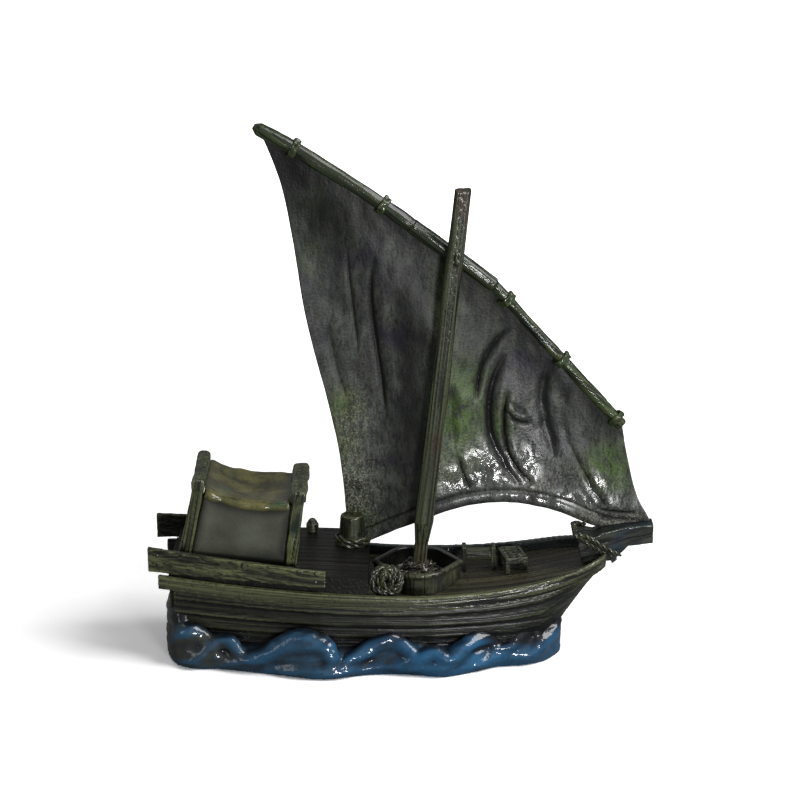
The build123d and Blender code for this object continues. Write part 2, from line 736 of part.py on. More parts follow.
def sheet_columns(z):
    """Where the sheet's points lie along the boat at one height: close together at the folds."""
    a, b, c, d, e, g = [read_at(sorted((q[1], q[0]) for q in guide), z)[0] for guide in SHEET_GUIDES]
    columns = [-86, -68, -54, -42, a - 9, a - 5, a - 2.4, a]
    columns += [a + (b - a) * k / 4 for k in (1, 2, 3)]
    columns += [b, b + 2.4, b + 5, b + 9]
    columns += [b + 9 + (c - b - 14) * k / 4 for k in (1, 2, 3)]
    columns += [c - 5, c - 2.4, c]
    columns += [c + (d - c) * k / 4 for k in (1, 2, 3)]
    columns += [d, *(d + (e - d) * k / 4 for k in (1, 2, 3)), e]
    columns += [e + (g - e) * k / 5 for k in (1, 2, 3, 4)]
    return columns + [g, g + 2.8, g + 6, g + 11, max(g + 16, 98), 126]


def sail_sheet(thick):
    """The sail's creased sheet, larger than its outline: level splines that are joined straight."""
    lie = smooth_rows(SAIL_SECTIONS)
    folds = [(depth, wide, smooth_rows(points, 5)) for depth, wide, points in SAIL_FOLDS]
    sections = []
    for z in SHEET_HEIGHTS:
        row = [(x, sail_y(x, z, lie, folds)) for x in sheet_columns(z)]
        near, far = ([(x, y + side * thick / 2) for x, y in row] for side in (-1, 1))
        wire = [Spline(*near), Line(near[-1], far[-1]), Spline(*far), Line(near[0], far[0])]
        sections.append(Pos(0, 0, z) * make_face(wire))
    return loft(sections, ruled=True)


# Sail outline in X and Z: the free aft edge, the foot, and the fore edge down to the bow head
AFT_EDGE = [
    (-65.0, 246.0), (-56.5, 224.0), (-51.4, 197.0), (-44.6, 154.0), (-34.4, 112.0), (-29.4, 84.0),
    (-26.0, 46.4),
]
FOOT = [(-19.0, 46.4), (-11.0, 50.6), (2.0, 57.7), (22.0, 66.6), (46.0, 70.0), (70.0, 67.0), (91.5, 58.6)]
FORE_EDGE = [(116.8, 62.6), (110.0, 73.7), (103.6, 104.0)]


def foot_curve(lift):
    return arcs([(x, z + lift) for x, z in FOOT])


def make_sail(spars, deck, head):
    aft_line = Polyline(YARD_TIP, AFT_EDGE[0])
    wire = [aft_line, *arcs(AFT_EDGE), Line(AFT_EDGE[-1], (FOOT[0][0], FOOT[0][1] + HEM_DEEP))]
    wire += foot_curve(HEM_DEEP)
    wire += [Polyline((FOOT[-1][0], FOOT[-1][1] + HEM_DEEP), (100.0, 60.0), (116.8, 56.0), FORE_EDGE[0])]
    wire += arcs(FORE_EDGE)
    wire += [Line(FORE_EDGE[-1], YARD_HEEL), Line(YARD_HEEL, SLEEVE_FORE), Line(SLEEVE_FORE, SLEEVE_AFT)]
    wire += [ThreePointArc(SLEEVE_AFT, YARD_BEND, YARD_TIP)]
    outline = extrude(make_face([Plane.XZ * e for e in wire]), 60, both=True)
    sail = sail_sheet(SAIL_THICK) & outline
    for piece in [*spars, deck, head]:
        sail -= piece
    return sail


def make_hem(mast, deck, head):
    band = foot_curve(0) + foot_curve(HEM_DEEP)
    for x, z in (FOOT[0], FOOT[-1]):
        band.append(Line((x, z), (x, z + HEM_DEEP)))
    outline = extrude(make_face([Plane.XZ * e for e in band]), 60, both=True)
    hem = sail_sheet(HEM_THICK) & outline
    for piece in (mast, deck, head):
        hem -= piece
    return hem


def make_bow_rope(pieces):
    """Two turns of rope round the bow head, lying on a slope from its top to the stem."""
    top, low = Vector(84.5, 0, 62.0), Vector(101.5, 0, 44.0)
    slope = degrees(atan2(low.Z - top.Z, low.X - top.X))
    place = Pos(top.X, 0, top.Z) * Rot(0, -slope, 0)
    block = bow_block(ROPE_RADIUS * 1.5)
    turns = []
    for side in (-1, 1):
        band = place * Pos(0, 0, side * ROPE_RADIUS * 1.08) * Box(120, 60, 2 * ROPE_RADIUS)
        turn = band & block
        for piece in pieces:
            turn -= piece
        turns += turn.solids()
    return Compound(children=turns)


def turned(profile):
    """A solid turned about Z from radius and height pairs, closed along the axis."""
    points = [(0, profile[0][1])] + [p for p, last in zip(profile, [None, *profile]) if p != last]
    if points[-1][0] > 0:
        points.append((0, points[-1][1]))
    return revolve(make_face(Plane.XZ * Polyline(*points, close=True)), Axis.Z)


def rope_bead(radius, low, thick):
    """The outside of one rope turn, as three straight runs of a turned profile."""
    bulge = radius + thick * 0.4
    edge, crown = (radius, low), (bulge, low + thick * 0.2)
    return [edge, crown, (bulge, low + thick * 0.8), (radius, low + thick * 0.98)]


def make_bollard():
    """A tapered mooring post with a dished top."""
    high, foot, head = BOLLARD_HIGH, BOLLARD_FOOT_RADIUS, BOLLARD_HEAD_RADIUS
    body = turned([(foot + 0.1, -2), (head, high - 0.8), (head - 0.8, high), (head - 2.0, high - 1.2)])
    return Pos(BOLLARD_AT[0], BOLLARD_AT[1], aft_deck_top(BOLLARD_AT[0])) * body


def make_bollard_ring(bollard):
    """Two turns of thick rope round the bollard's foot, the upper one smaller."""
    turn = 2 * BOLLARD_RING_RADIUS
    profile = rope_bead(BOLLARD_FOOT_RADIUS + 0.8, 0, turn) + rope_bead(BOLLARD_FOOT_RADIUS + 0.2, turn, turn)
    ring = Pos(BOLLARD_AT[0], BOLLARD_AT[1], aft_deck_top(BOLLARD_AT[0])) * turned(profile)
    return ring - bollard


def make_bitt(deck):
    """The rope-wrapped mooring post by the port bulwark."""
    profile = [(BITT_RADIUS, -2)]
    for i in range(BITT_TURNS):
        profile += rope_bead(BITT_RADIUS, round(0.8 + BITT_ROPE * i, 3), BITT_ROPE)
    top = BITT_HIGH
    profile += [(BITT_RADIUS, top - 2.2), (BITT_RADIUS * 0.8, top - 0.8), (BITT_RADIUS * 0.3, top)]
    return Pos(BITT_AT[0], BITT_AT[1], aft_deck_top(BITT_AT[0])) * turned(profile) - deck


def make_coil(deck, tub):
    """A coil of rope that leans on the starboard rail."""
    x, y = COIL_AT
    z = deck_top(x) + COIL_RADIUS * sin(radians(COIL_LEAN)) + COIL_ROPE
    hole = COIL_RADIUS - 3 * COIL_ROPE
    ridge = [(hole, 0)]
    for i in range(3):
        low = hole + COIL_ROPE * i
        ridge += [(low + COIL_ROPE * 0.25, COIL_ROPE * 0.7), (low + COIL_ROPE * 0.75, COIL_ROPE * 0.7)]
        ridge += [(low + COIL_ROPE, COIL_ROPE * 0.25)]
    ridge[-1] = (COIL_RADIUS, 0)
    under = [(r, -z) for r, z in reversed(ridge[1:-1])]
    coil = revolve(make_face(Plane.XZ * Polyline(*ridge, *under, close=True)), Axis.Z)
    return Pos(x, y, z) * Rot(COIL_LEAN, 0, 0) * coil - deck - tub


def make_crate(deck):
    """A small grid-topped crate on four legs."""
    place = Pos(52.0, 9.5, 0) * Rot(0, 0, 12)
    high = 43.6
    crate = place * Pos(0, 0, high - 1.5) * Box(11, 17, 3)
    for dx in (-1, 1):
        for dy in (-1, 1):
            crate += place * Pos(dx * 4.3, dy * 7.3, 35) * Box(2.2, 2.2, 14)
    for i in range(3):
        for j in range(5):
            crate -= place * Pos(-3.2 + 3.2 * i, -6.0 + 3.0 * j, high) * Box(2.2, 2.0, 2.4)
    return crate - deck


def make_windlass(deck):
    barrel = Pos(36.0, 14.0, 41.0) * Rot(0, 90, 0) * Cylinder(3.3, 12)
    cheeks = []
    for x in (29.0, 43.0):
        cheeks.append(Pos(x, 14.0, 38) * Box(2, 8, 15) - deck)
    return barrel, cheeks


def make_eye():
    """The small ring knotted on the front of the mast, just under the yard."""
    ring = revolve(make_face(Plane.XZ * Pos(1.9, 0) * RegularPolygon(0.9, 6)), Axis.Z)
    return Pos(mast_x(EYE_Z) + 0.6, -4.9, EYE_Z) * Rot(0, 90, 0) * ring


def main():
    hull = make_hull()
    stem = make_stem() - hull
    rails = [make_rail()]
    rails.append(port(rails[0]))
    stem = stem - rails[0] - rails[1]
    under_aft_deck = profile_band(lambda x: 30, aft_deck_top)
    under_main_deck = profile_band(lambda x: 15, deck_top)
    parts = {}
    parts["hull_planking"] = hull
    parts["rail_starboard"], parts["rail_port"] = rails
    main_deck = make_main_deck()
    aft_deck = make_aft_deck()
    parts["main_deck"] = main_deck
    stem = stem - main_deck
    parts["stem_post"] = stem
    parts["aft_deck"] = aft_deck
    bulwarks = [make_bulwark(BULWARK_FORE_X["starboard"]), port(make_bulwark(BULWARK_FORE_X["port"]))]
    parts["bulwark_starboard"], parts["bulwark_port"] = bulwarks
    transom = make_transom() - rails[0] - rails[1]
    parts["transom_board"] = transom
    parts["wave_base"] = make_waves([hull, stem, transom])
    head = make_bow_head(rails) - stem - main_deck
    parts["bow_head"] = head

    for name, top, lean in (("aft", AFT_POST_TOP, AFT_POST_LEAN), ("fore", FORE_POST_TOP, FORE_POST_LEAN)):
        for side_name, side in (("starboard", -1), ("port", 1)):
            parts[f"cabin_post_{name}_{side_name}"] = make_post(top, lean, side, under_aft_deck)
    parts["cabin_wall_aft"] = make_end_wall(AFT_POST_TOP, AFT_POST_LEAN, -1, under_aft_deck)
    parts["cabin_wall_fore"] = make_end_wall(FORE_POST_TOP, FORE_POST_LEAN, 1, under_aft_deck)
    logs = [make_roof_log(AFT_POST_TOP, AFT_LOG_WIDE), make_roof_log(FORE_POST_TOP, FORE_LOG_WIDE)]
    parts["cabin_log_aft"], parts["cabin_log_fore"] = logs
    roof = make_roof()
    parts["cabin_roof"] = roof
    for side_name, side in (("starboard", -1), ("port", 1)):
        wall = make_side_wall(side, under_aft_deck, roof)
        parts[f"cabin_wall_{side_name}"] = wall
        parts[f"cabin_hem_{side_name}"] = make_roof_hem(side, roof) - logs[0] - logs[1] - wall

    mast = make_mast()
    tub = make_tub()
    step = make_mast_step() - tub
    parts["mast"] = mast
    parts["mast_tub"] = tub
    parts["mast_step"] = step
    parts["net_heap"] = make_net_heap(step) - tub

    upper = make_yard_upper()
    sleeve = rod(SLEEVE_AFT, SLEEVE_FORE, SLEEVE_RADIUS, YARD_Y) - mast
    lower = rod(SLEEVE_FORE, YARD_HEEL, YARD_LOWER_RADIUS, YARD_Y) - sleeve
    upper = upper - sleeve
    lashings = [band - upper for band in make_lashings()]
    parts["yard_upper"] = upper
    parts["yard_sleeve"] = sleeve
    parts["yard_lower"] = lower
    parts["yard_lashings"] = Compound(children=lashings)
    spars = [upper, sleeve, lower, *lashings, mast]

    bollard = make_bollard() - under_aft_deck
    ring = make_bollard_ring(bollard) - under_aft_deck
    parts["bollard"] = bollard
    parts["bollard_rope"] = ring
    hem = make_hem(mast, aft_deck, head) - bollard - ring
    parts["sail_foot_hem"] = hem
    sail = make_sail(spars, aft_deck, head) - hem - bollard - ring
    parts["sail"] = sail.solids().sort_by(SortBy.VOLUME)[-1]

    parts["bow_rope"] = make_bow_rope([head, stem, hull, *rails, main_deck, hem, sail])
    parts["mooring_bitt"] = make_bitt(under_aft_deck) - bulwarks[1]
    parts["rope_coil"] = make_coil(under_main_deck, tub)
    parts["deck_crate"] = make_crate(under_main_deck)
    barrel, cheeks = make_windlass(under_main_deck)
    parts["windlass_barrel"] = barrel
    parts["windlass_cheeks"] = Compound(children=cheeks)
    parts["mast_eye"] = make_eye() - mast

    os.makedirs("parts", exist_ok=True)
    for name, shape in parts.items():
        export_step(shape, f"parts/{name}.step")
        print(name, len(shape.solids()), round(shape.volume, 1))


main()
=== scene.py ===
from math import cos, pi, radians, sin

import bpy
import numpy as np
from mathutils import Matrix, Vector
from mathutils.bvhtree import BVHTree


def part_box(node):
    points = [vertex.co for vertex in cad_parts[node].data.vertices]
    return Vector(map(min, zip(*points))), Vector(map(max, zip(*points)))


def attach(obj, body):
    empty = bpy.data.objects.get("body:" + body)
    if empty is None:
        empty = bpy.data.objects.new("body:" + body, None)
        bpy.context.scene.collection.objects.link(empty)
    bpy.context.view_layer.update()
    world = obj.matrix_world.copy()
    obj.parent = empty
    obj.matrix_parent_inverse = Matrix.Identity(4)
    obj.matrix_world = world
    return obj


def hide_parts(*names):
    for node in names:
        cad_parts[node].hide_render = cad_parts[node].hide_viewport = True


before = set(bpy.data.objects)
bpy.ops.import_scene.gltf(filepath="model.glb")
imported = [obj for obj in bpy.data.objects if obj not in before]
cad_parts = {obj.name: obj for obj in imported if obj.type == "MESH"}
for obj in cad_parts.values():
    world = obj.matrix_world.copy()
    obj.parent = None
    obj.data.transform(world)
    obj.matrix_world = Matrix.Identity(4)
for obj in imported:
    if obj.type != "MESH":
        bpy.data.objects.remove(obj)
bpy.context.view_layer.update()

# The camera looks at the starboard side from a little above, as the photograph does.
# The look-down angle and the distance were worked out from how the decks and the base foreshorten.
MM = 0.001
VIEW_TARGET = Vector((-1.7, 0.0, 122.3)) * MM
VIEW_DISTANCE = 1.15
VIEW_RISE = radians(17.1)
LENS_MM, FRAME_MM = 111.5, 36.0
bpy.ops.object.select_all(action="DESELECT")
bpy.ops.object.camera_add(
    location=VIEW_TARGET + VIEW_DISTANCE * Vector((0, -cos(VIEW_RISE), sin(VIEW_RISE))),
    rotation=(radians(90) - VIEW_RISE, 0, 0),
)
camera = bpy.context.object
camera.name = "front_camera"
camera.data.lens = LENS_MM
camera.data.sensor_width = FRAME_MM
camera.data.clip_start = 0.01
bpy.context.scene.camera = camera


# The floor is one sheet of white studio paper, matt and without texture.
# The camera sees it over-lit, so that it runs out to plain white and keeps only the object's soft shadow.
# In the varnish it is mirrored much darker.
PAPER_WIDTH, PAPER_NEAR, PAPER_FAR = 10.0, 0.25, 3.0
PAPER_SEEN_NEAR, PAPER_SEEN_FAR, PAPER_MIRRORED = 1.7, 14.0, 0.2


def new_material(name):
    material = bpy.data.materials.new(name)
    material.use_nodes = True
    material.node_tree.nodes.clear()
    return material


def add_node(owner, kind, inputs=None, **settings):
    """One shader node of a material or the world, with its settings, its values and its links."""
    node = owner.node_tree.nodes.new(kind)
    for key, value in settings.items():
        setattr(node, key, value)
    for key, value in (inputs or {}).items():
        if isinstance(value, bpy.types.NodeSocket):
            owner.node_tree.links.new(value, node.inputs[key])
        else:
            node.inputs[key].default_value = value
    return node


paper = new_material("white_studio_paper")
camera_ray = add_node(paper, "ShaderNodeLightPath").outputs["Is Camera Ray"]
place = add_node(paper, "ShaderNodeTexCoord").outputs["Object"]
far = add_node(paper, "ShaderNodeVectorMath", {0: place}, operation="LENGTH").outputs["Value"]
seen = add_node(paper, "ShaderNodeMapRange", {
    "Value": far, "From Min": PAPER_NEAR, "From Max": PAPER_FAR,
    "To Min": PAPER_SEEN_NEAR, "To Max": PAPER_SEEN_FAR,
})
shade = add_node(paper, "ShaderNodeMapRange", {
    "Value": camera_ray, "To Min": PAPER_MIRRORED, "To Max": seen.outputs[0],
})
matt = add_node(paper, "ShaderNodeBsdfDiffuse", {"Color": shade.outputs[0]})
add_node(paper, "ShaderNodeOutputMaterial", {"Surface": matt.outputs[0]})
bpy.ops.object.select_all(action="DESELECT")
bpy.ops.mesh.primitive_plane_add(size=PAPER_WIDTH, location=(0, 0, 0))
floor = bpy.context.object
floor.name = "paper_floor"
floor.data.materials.append(paper)


# Studio light: a high soft box at the right, a small low window in front that glints in the varnish, and two
# weak fills, one at the left and one high behind. The room between them is dim, which keeps the varnish dark
# where no lamp is mirrored in it. The camera sees the room as plain white.
ROOM_GLOW = 0.14
LIT_SPOT = Vector((0, 0, 0.1))
# Columns: name, place, width and height in metres, watts
LAMPS = [
    ("top_box", (0.9, -0.3, 1.1), 0.9, 0.8, 18.0),
    ("low_window", (0.29, -0.97, 0.14), 0.18, 0.13, 4.5),
    ("left_fill", (-1.2, -0.9, 0.6), 0.5, 0.5, 1.4),
    ("back_fill", (-0.7, 0.6, 1.3), 0.9, 0.9, 2.5),
]
for name, place, wide, high, power in LAMPS:
    bpy.ops.object.select_all(action="DESELECT")
    aim = LIT_SPOT - Vector(place)
    bpy.ops.object.light_add(type="AREA", location=place, rotation=aim.to_track_quat("-Z", "Y").to_euler())
    lamp = bpy.context.object
    lamp.name = name
    lamp.data.shape = "RECTANGLE"
    lamp.data.size = wide
    lamp.data.size_y = high
    lamp.data.energy = power
world = bpy.data.worlds.new("studio_room")
bpy.context.scene.world = world
world.use_nodes = True
room = world.node_tree.nodes["Background"]
room.inputs["Color"].default_value = (1, 1, 1, 1)
camera_ray = add_node(world, "ShaderNodeLightPath").outputs["Is Camera Ray"]
level = add_node(world, "ShaderNodeMapRange", {"Value": camera_ray, "To Min": ROOM_GLOW, "To Max": 1.0})
world.node_tree.links.new(level.outputs[0], room.inputs["Strength"])
bpy.context.scene.view_settings.view_transform = "Standard"


# The base is a block of cast resin waves that the boat is set into.
# Its body is skinned over cross-sections, its S-shaped swells are tubes, and both are melted into one skin.
# Thin blue paint over near black, brushed paler on the crests, lies under a thick wet varnish.
WAVE_STATIONS = [
    # x, then foot half-width and crest height to starboard, then the same to port
    (-112.5, 8, 19, 8, 19), (-110.5, 17, 27.5, 16, 27), (-107, 25, 31.5, 24, 30.5), (-102, 29, 28, 28, 27),
    (-96, 31, 18.5, 30, 18.5), (-86, 31, 14.5, 32, 15), (-74, 34, 12, 37, 16.5), (-62, 37, 13.5, 38, 13.5),
    (-51, 40, 18, 37, 12), (-42, 42, 19, 38, 13.5), (-31, 42, 12.5, 40, 17.5), (-18, 38, 11.5, 42, 18.5),
    (-4, 37, 16, 41, 14), (10, 39, 13.5, 37, 12), (20, 40, 12, 34, 14.5), (34, 34, 16, 36, 17.5),
    (44, 28, 14, 33, 14), (54, 27, 17, 27, 15), (64, 23, 21.5, 23, 20), (70, 17, 24.5, 17, 24),
    (74.5, 9, 21.5, 9, 21),
]
# Swells: side, then x, height and radius along each one's back, from its low tail to its curled tip
SWELLS = [
    (-1, [(-110, 8, 1.0), (-106, 14, 3.0), (-100, 17, 3.8), (-93, 15, 3.6), (-88, 10, 2.6), (-88, 6, 1.2)]),
    (-1, [(-104, 4, 1.0), (-96, 6, 2.8), (-88, 12.5, 3.6), (-82, 13.5, 3.2), (-77, 10, 2.4),
          (-76, 6.5, 1.0)]),
    (-1, [(-86, 3, 1.0), (-74, 5.5, 3.0), (-64, 9, 3.8), (-54, 14.5, 4.8), (-45, 17.0, 5.2), (-37, 14.5, 4.4),
          (-33, 9.5, 3.2), (-35, 5.5, 1.6)]),
    (-1, [(-60, 2.5, 1.0), (-48, 4, 3.4), (-36, 3.6, 3.2), (-26, 5, 2.4), (-18, 9, 1.2)]),
    (-1, [(-30, 5, 1.0), (-24, 9, 2.4), (-16, 12.5, 3.4), (-7, 15.0, 4.0), (0, 13.5, 3.6), (4.5, 9.5, 2.6),
          (3.5, 6, 1.2)]),
    (-1, [(-8, 4.5, 1.0), (2, 5.5, 2.8), (9, 9, 3.2), (14, 11.5, 2.8), (19, 9.5, 2.2), (21, 6.5, 1.0)]),
    (-1, [(8, 3.0, 1.0), (18, 5.5, 3.0), (25, 10.5, 3.4), (31, 14.5, 3.8), (37, 15.0, 3.6), (42, 12, 2.8),
          (42, 8, 1.4)]),
    (-1, [(33, 4, 1.0), (42, 6, 2.8), (50, 11, 3.2), (56, 16, 3.4), (60, 17.5, 3.0), (63, 14, 2.2),
          (62, 10, 1.0)]),
    (-1, [(54, 4, 1.0), (62, 7, 3.2), (68, 12, 3.6), (71, 18, 3.6), (69, 22.5, 3.2), (65.5, 22, 2.2),
          (65.5, 18.5, 1.2)]),
    (1, [(-104, 6, 1.0), (-94, 9, 3.4), (-85, 13, 4.0), (-78, 11, 2.8), (-78, 7, 1.2)]),
    (1, [(-80, 4, 1.0), (-66, 8, 3.8), (-56, 13, 4.4), (-48, 11, 3.0), (-48, 7, 1.2)]),
    (1, [(-46, 4, 1.0), (-32, 8, 4.0), (-20, 14.5, 5.0), (-10, 12.5, 3.4), (-9, 8, 1.4)]),
    (1, [(-6, 4, 1.0), (6, 7, 3.6), (17, 12, 4.2), (24, 9.5, 2.8), (24, 6, 1.2)]),
    (1, [(22, 4, 1.0), (32, 9, 3.8), (40, 14, 4.4), (47, 11, 2.8), (46, 7, 1.2)]),
    (1, [(46, 5, 1.0), (54, 9, 3.4), (61, 15, 3.8), (66, 13, 2.6), (66, 9, 1.2)]),
]
WAVE_SHOULDER, WAVE_BULGE = 7.5, 1.2
# In swell radii: how far inside the base's side a swell's middle lies, and how thick its tube is
SWELL_INSET, SWELL_THICK = 0.72, 1.2
WAVE_RINGS, WAVE_RING_POINTS, SWELL_POINTS = 70, 28, 26
WAVE_INK_AND_SHADE, WAVE_BLUE, WAVE_CREST = "#050d16", "#10344e", "#205a80"
WAVE_OLIVE, WAVE_DEEP = "#33382f", "#1b2a30"


def lengths_along(run):
    """How far along a run each of its points lies."""
    return np.concatenate([[0], np.cumsum(np.linalg.norm(np.diff(run, axis=0), axis=1))])


def evenly(run, count):
    """The same run with its points at even distances."""
    run = np.asarray(run, float)
    lengths = lengths_along(run)
    at = np.linspace(0, lengths[-1], count)
    return np.stack([np.interp(at, lengths, run[:, k]) for k in range(run.shape[1])], axis=1)


def smooth_run(points, count):
    """Evenly spaced points along a smooth curve through a few given ones."""
    p = np.array([points[0], *points, points[-1]], float)
    fine = []
    for i in range(1, len(p) - 2):
        for t in np.linspace(0, 1, 24, endpoint=False):
            a, b, c, d = p[i - 1], p[i], p[i + 1], p[i + 2]
            square, cube = 2 * a - 5 * b + 4 * c - d, 3 * b - a - 3 * c + d
            fine.append(0.5 * (2 * b + (c - a) * t + square * t**2 + cube * t**3))
    fine.append(p[-1])
    return evenly(fine, count)


def noise_field(points, seed=0):
    """Soft noise from -1 to 1 at points whose unit is the size of one feature."""
    points = np.asarray(points, float)
    cell = np.floor(points).astype(np.int64)
    f = points - cell
    f = f * f * (3 - 2 * f)
    total = np.zeros(len(points))
    for corner in range(8):
        step = np.array([corner & 1, corner >> 1 & 1, corner >> 2 & 1])
        h = ((cell + step) * np.array([73856093, 19349663, 83492791])).sum(axis=1) + 1013904223 * seed
        h = (h ^ (h >> 13)) * 1274126177 & 0x7FFFFFFF
        h = (h ^ (h >> 16)) * 1103515245 & 0x7FFFFFFF
        total += np.where(step, f, 1 - f).prod(axis=1) * (h / 0x3FFFFFFF - 1)
    return total


def box_mm(*nodes):
    """Lowest and highest corner of CAD nodes, in mm."""
    corners = [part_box(node) for node in nodes]
    return np.min([c[0] for c in corners], axis=0) / MM, np.max([c[1] for c in corners], axis=0) / MM


def apply_modifiers(piece):
    bpy.ops.object.select_all(action="DESELECT")
    piece.select_set(True)
    bpy.context.view_layer.objects.active = piece
    for modifier in list(piece.modifiers):
        bpy.ops.object.modifier_apply(modifier=modifier.name)


def mm_points(piece):
    co = np.empty(len(piece.data.vertices) * 3)
    piece.data.vertices.foreach_get("co", co)
    return co.reshape(-1, 3) / MM


def normals_of(piece):
    values = np.empty(len(piece.data.vertices) * 3)
    piece.data.vertices.foreach_get("normal", values)
    return values.reshape(-1, 3)


def move_to(piece, points):
    piece.data.vertices.foreach_set("co", (points * MM).ravel())
    piece.data.update()


def push_out(piece, heights):
    """Moves a piece's skin out along its normals, by a height in mm at each vertex."""
    move_to(piece, mm_points(piece) + normals_of(piece) * heights[:, None])


def join_onto(piece, other):
    """Joins another piece into this one."""
    bpy.ops.object.select_all(action="DESELECT")
    other.select_set(True)
    piece.select_set(True)
    bpy.context.view_layer.objects.active = piece
    bpy.ops.object.join()


def paint(piece, name, values):
    """A value from 0 to 1 at each vertex, which the paint's pattern follows."""
    layer = piece.data.attributes.get(name) or piece.data.attributes.new(name, "FLOAT", "POINT")
    layer.data.foreach_set("value", np.clip(values, 0, 1).astype(np.float32))


def tubes(name, runs, sides=10):
    """Round closed tubes in one mesh. Each run is rows of x, y, z and radius in mm, along its middle."""
    vertices, faces = [], []
    for run in runs:
        run = np.asarray(run, float)
        path, radii = run[:, :3], run[:, 3]
        along = np.gradient(path, axis=0)
        along /= np.linalg.norm(along, axis=1)[:, None]
        across = np.cross(along[0], (0.31, 0.87, 0.38))
        first = len(vertices)
        vertices.append(path[0] - along[0] * radii[0] * 0.6)
        for point, ahead, radius in zip(path, along, radii):
            across = across - ahead * (across @ ahead)
            across /= np.linalg.norm(across)
            up = np.cross(ahead, across)
            for k in range(sides):
                turn = 2 * pi * k / sides
                vertices.append(point + radius * (cos(turn) * across + sin(turn) * up))
        vertices.append(path[-1] + along[-1] * radii[-1] * 0.6)
        last = len(vertices) - 1
        for row in range(len(path) - 1):
            for k in range(sides):
                a, b = first + 1 + row * sides + k, first + 1 + row * sides + (k + 1) % sides
                faces.append((a, b, b + sides, a + sides))
        for k in range(sides):
            a, b = first + 1 + k, first + 1 + (k + 1) % sides
            faces.append((first, b, a))
            faces.append((last, a + (len(path) - 1) * sides, b + (len(path) - 1) * sides))
    mesh = bpy.data.meshes.new(name)
    mesh.from_pydata([tuple(v * MM) for v in vertices], [], faces)
    piece = bpy.data.objects.new(name, mesh)
    bpy.context.collection.objects.link(piece)
    return piece


def melt(piece, cell, passes):
    """Turns a mesh into one skin of even cells with soft edges, as resin comes out of its mould."""
    skin = piece.modifiers.new("skin", "REMESH")
    skin.mode = "VOXEL"
    skin.voxel_size = cell * MM
    soft = piece.modifiers.new("soft", "SMOOTH")
    soft.factor = 0.5
    soft.iterations = passes
    apply_modifiers(piece)
    bpy.ops.object.shade_smooth()


def age(piece, passes, gain):
    """Paints hollows as wash and proud edges as worn, by how far the skin lies from its own average."""
    points, normals = mm_points(piece), normals_of(piece)
    edges = np.empty(len(piece.data.edges) * 2, int)
    piece.data.edges.foreach_get("vertices", edges)
    a, b = edges.reshape(-1, 2).T
    count = np.bincount(np.concatenate([a, b]), minlength=len(points))[:, None]
    mean = points.copy()
    for _ in range(passes):
        total = np.zeros_like(mean)
        for axis in range(3):
            total[:, axis] = np.bincount(a, mean[b, axis], len(points))
            total[:, axis] += np.bincount(b, mean[a, axis], len(points))
        mean = total / count
    hollow = ((mean - points) * normals).sum(axis=1) * gain
    paint(piece, "wash_and_shade", hollow)
    paint(piece, "worn", -hollow)


def skin_of(*pieces):
    """The surface of pieces in mm, for measuring from it and laying things on it."""
    vertices, faces = [], []
    for piece in pieces:
        start = len(vertices)
        vertices += [piece.matrix_world @ v.co / MM for v in piece.data.vertices]
        faces += [tuple(start + k for k in face.vertices) for face in piece.data.polygons]
    return BVHTree.FromPolygons(vertices, faces)


def add_wash_and_shade(piece, values):
    """Adds dark ink to a piece wherever these values are above what its hollows hold; it serves both for ink
    in the grain and for painted shade.
    """
    held = np.empty(len(piece.data.vertices), np.float32)
    piece.data.attributes["wash_and_shade"].data.foreach_get("value", held)
    paint(piece, "wash_and_shade", np.maximum(held, values))


def paint_shade_near(piece, nodes, reach, strength):
    """Paints shade where a piece lies close to its neighbours, darkest in the corners between them."""
    skin = skin_of(*[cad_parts[node] for node in nodes])
    gap = np.array([skin.find_nearest(Vector(point))[3] for point in mm_points(piece)])
    add_wash_and_shade(piece, strength * np.exp(-((gap / reach) ** 2)))


def linear(hex_colour):
    """sRGB hex to the linear colour that the sockets take."""
    values = []
    for i in (1, 3, 5):
        c = int(hex_colour[i : i + 2], 16) / 255
        values.append(c / 12.92 if c <= 0.04045 else ((c + 0.055) / 1.055) ** 2.4)
    return (*values, 1.0)


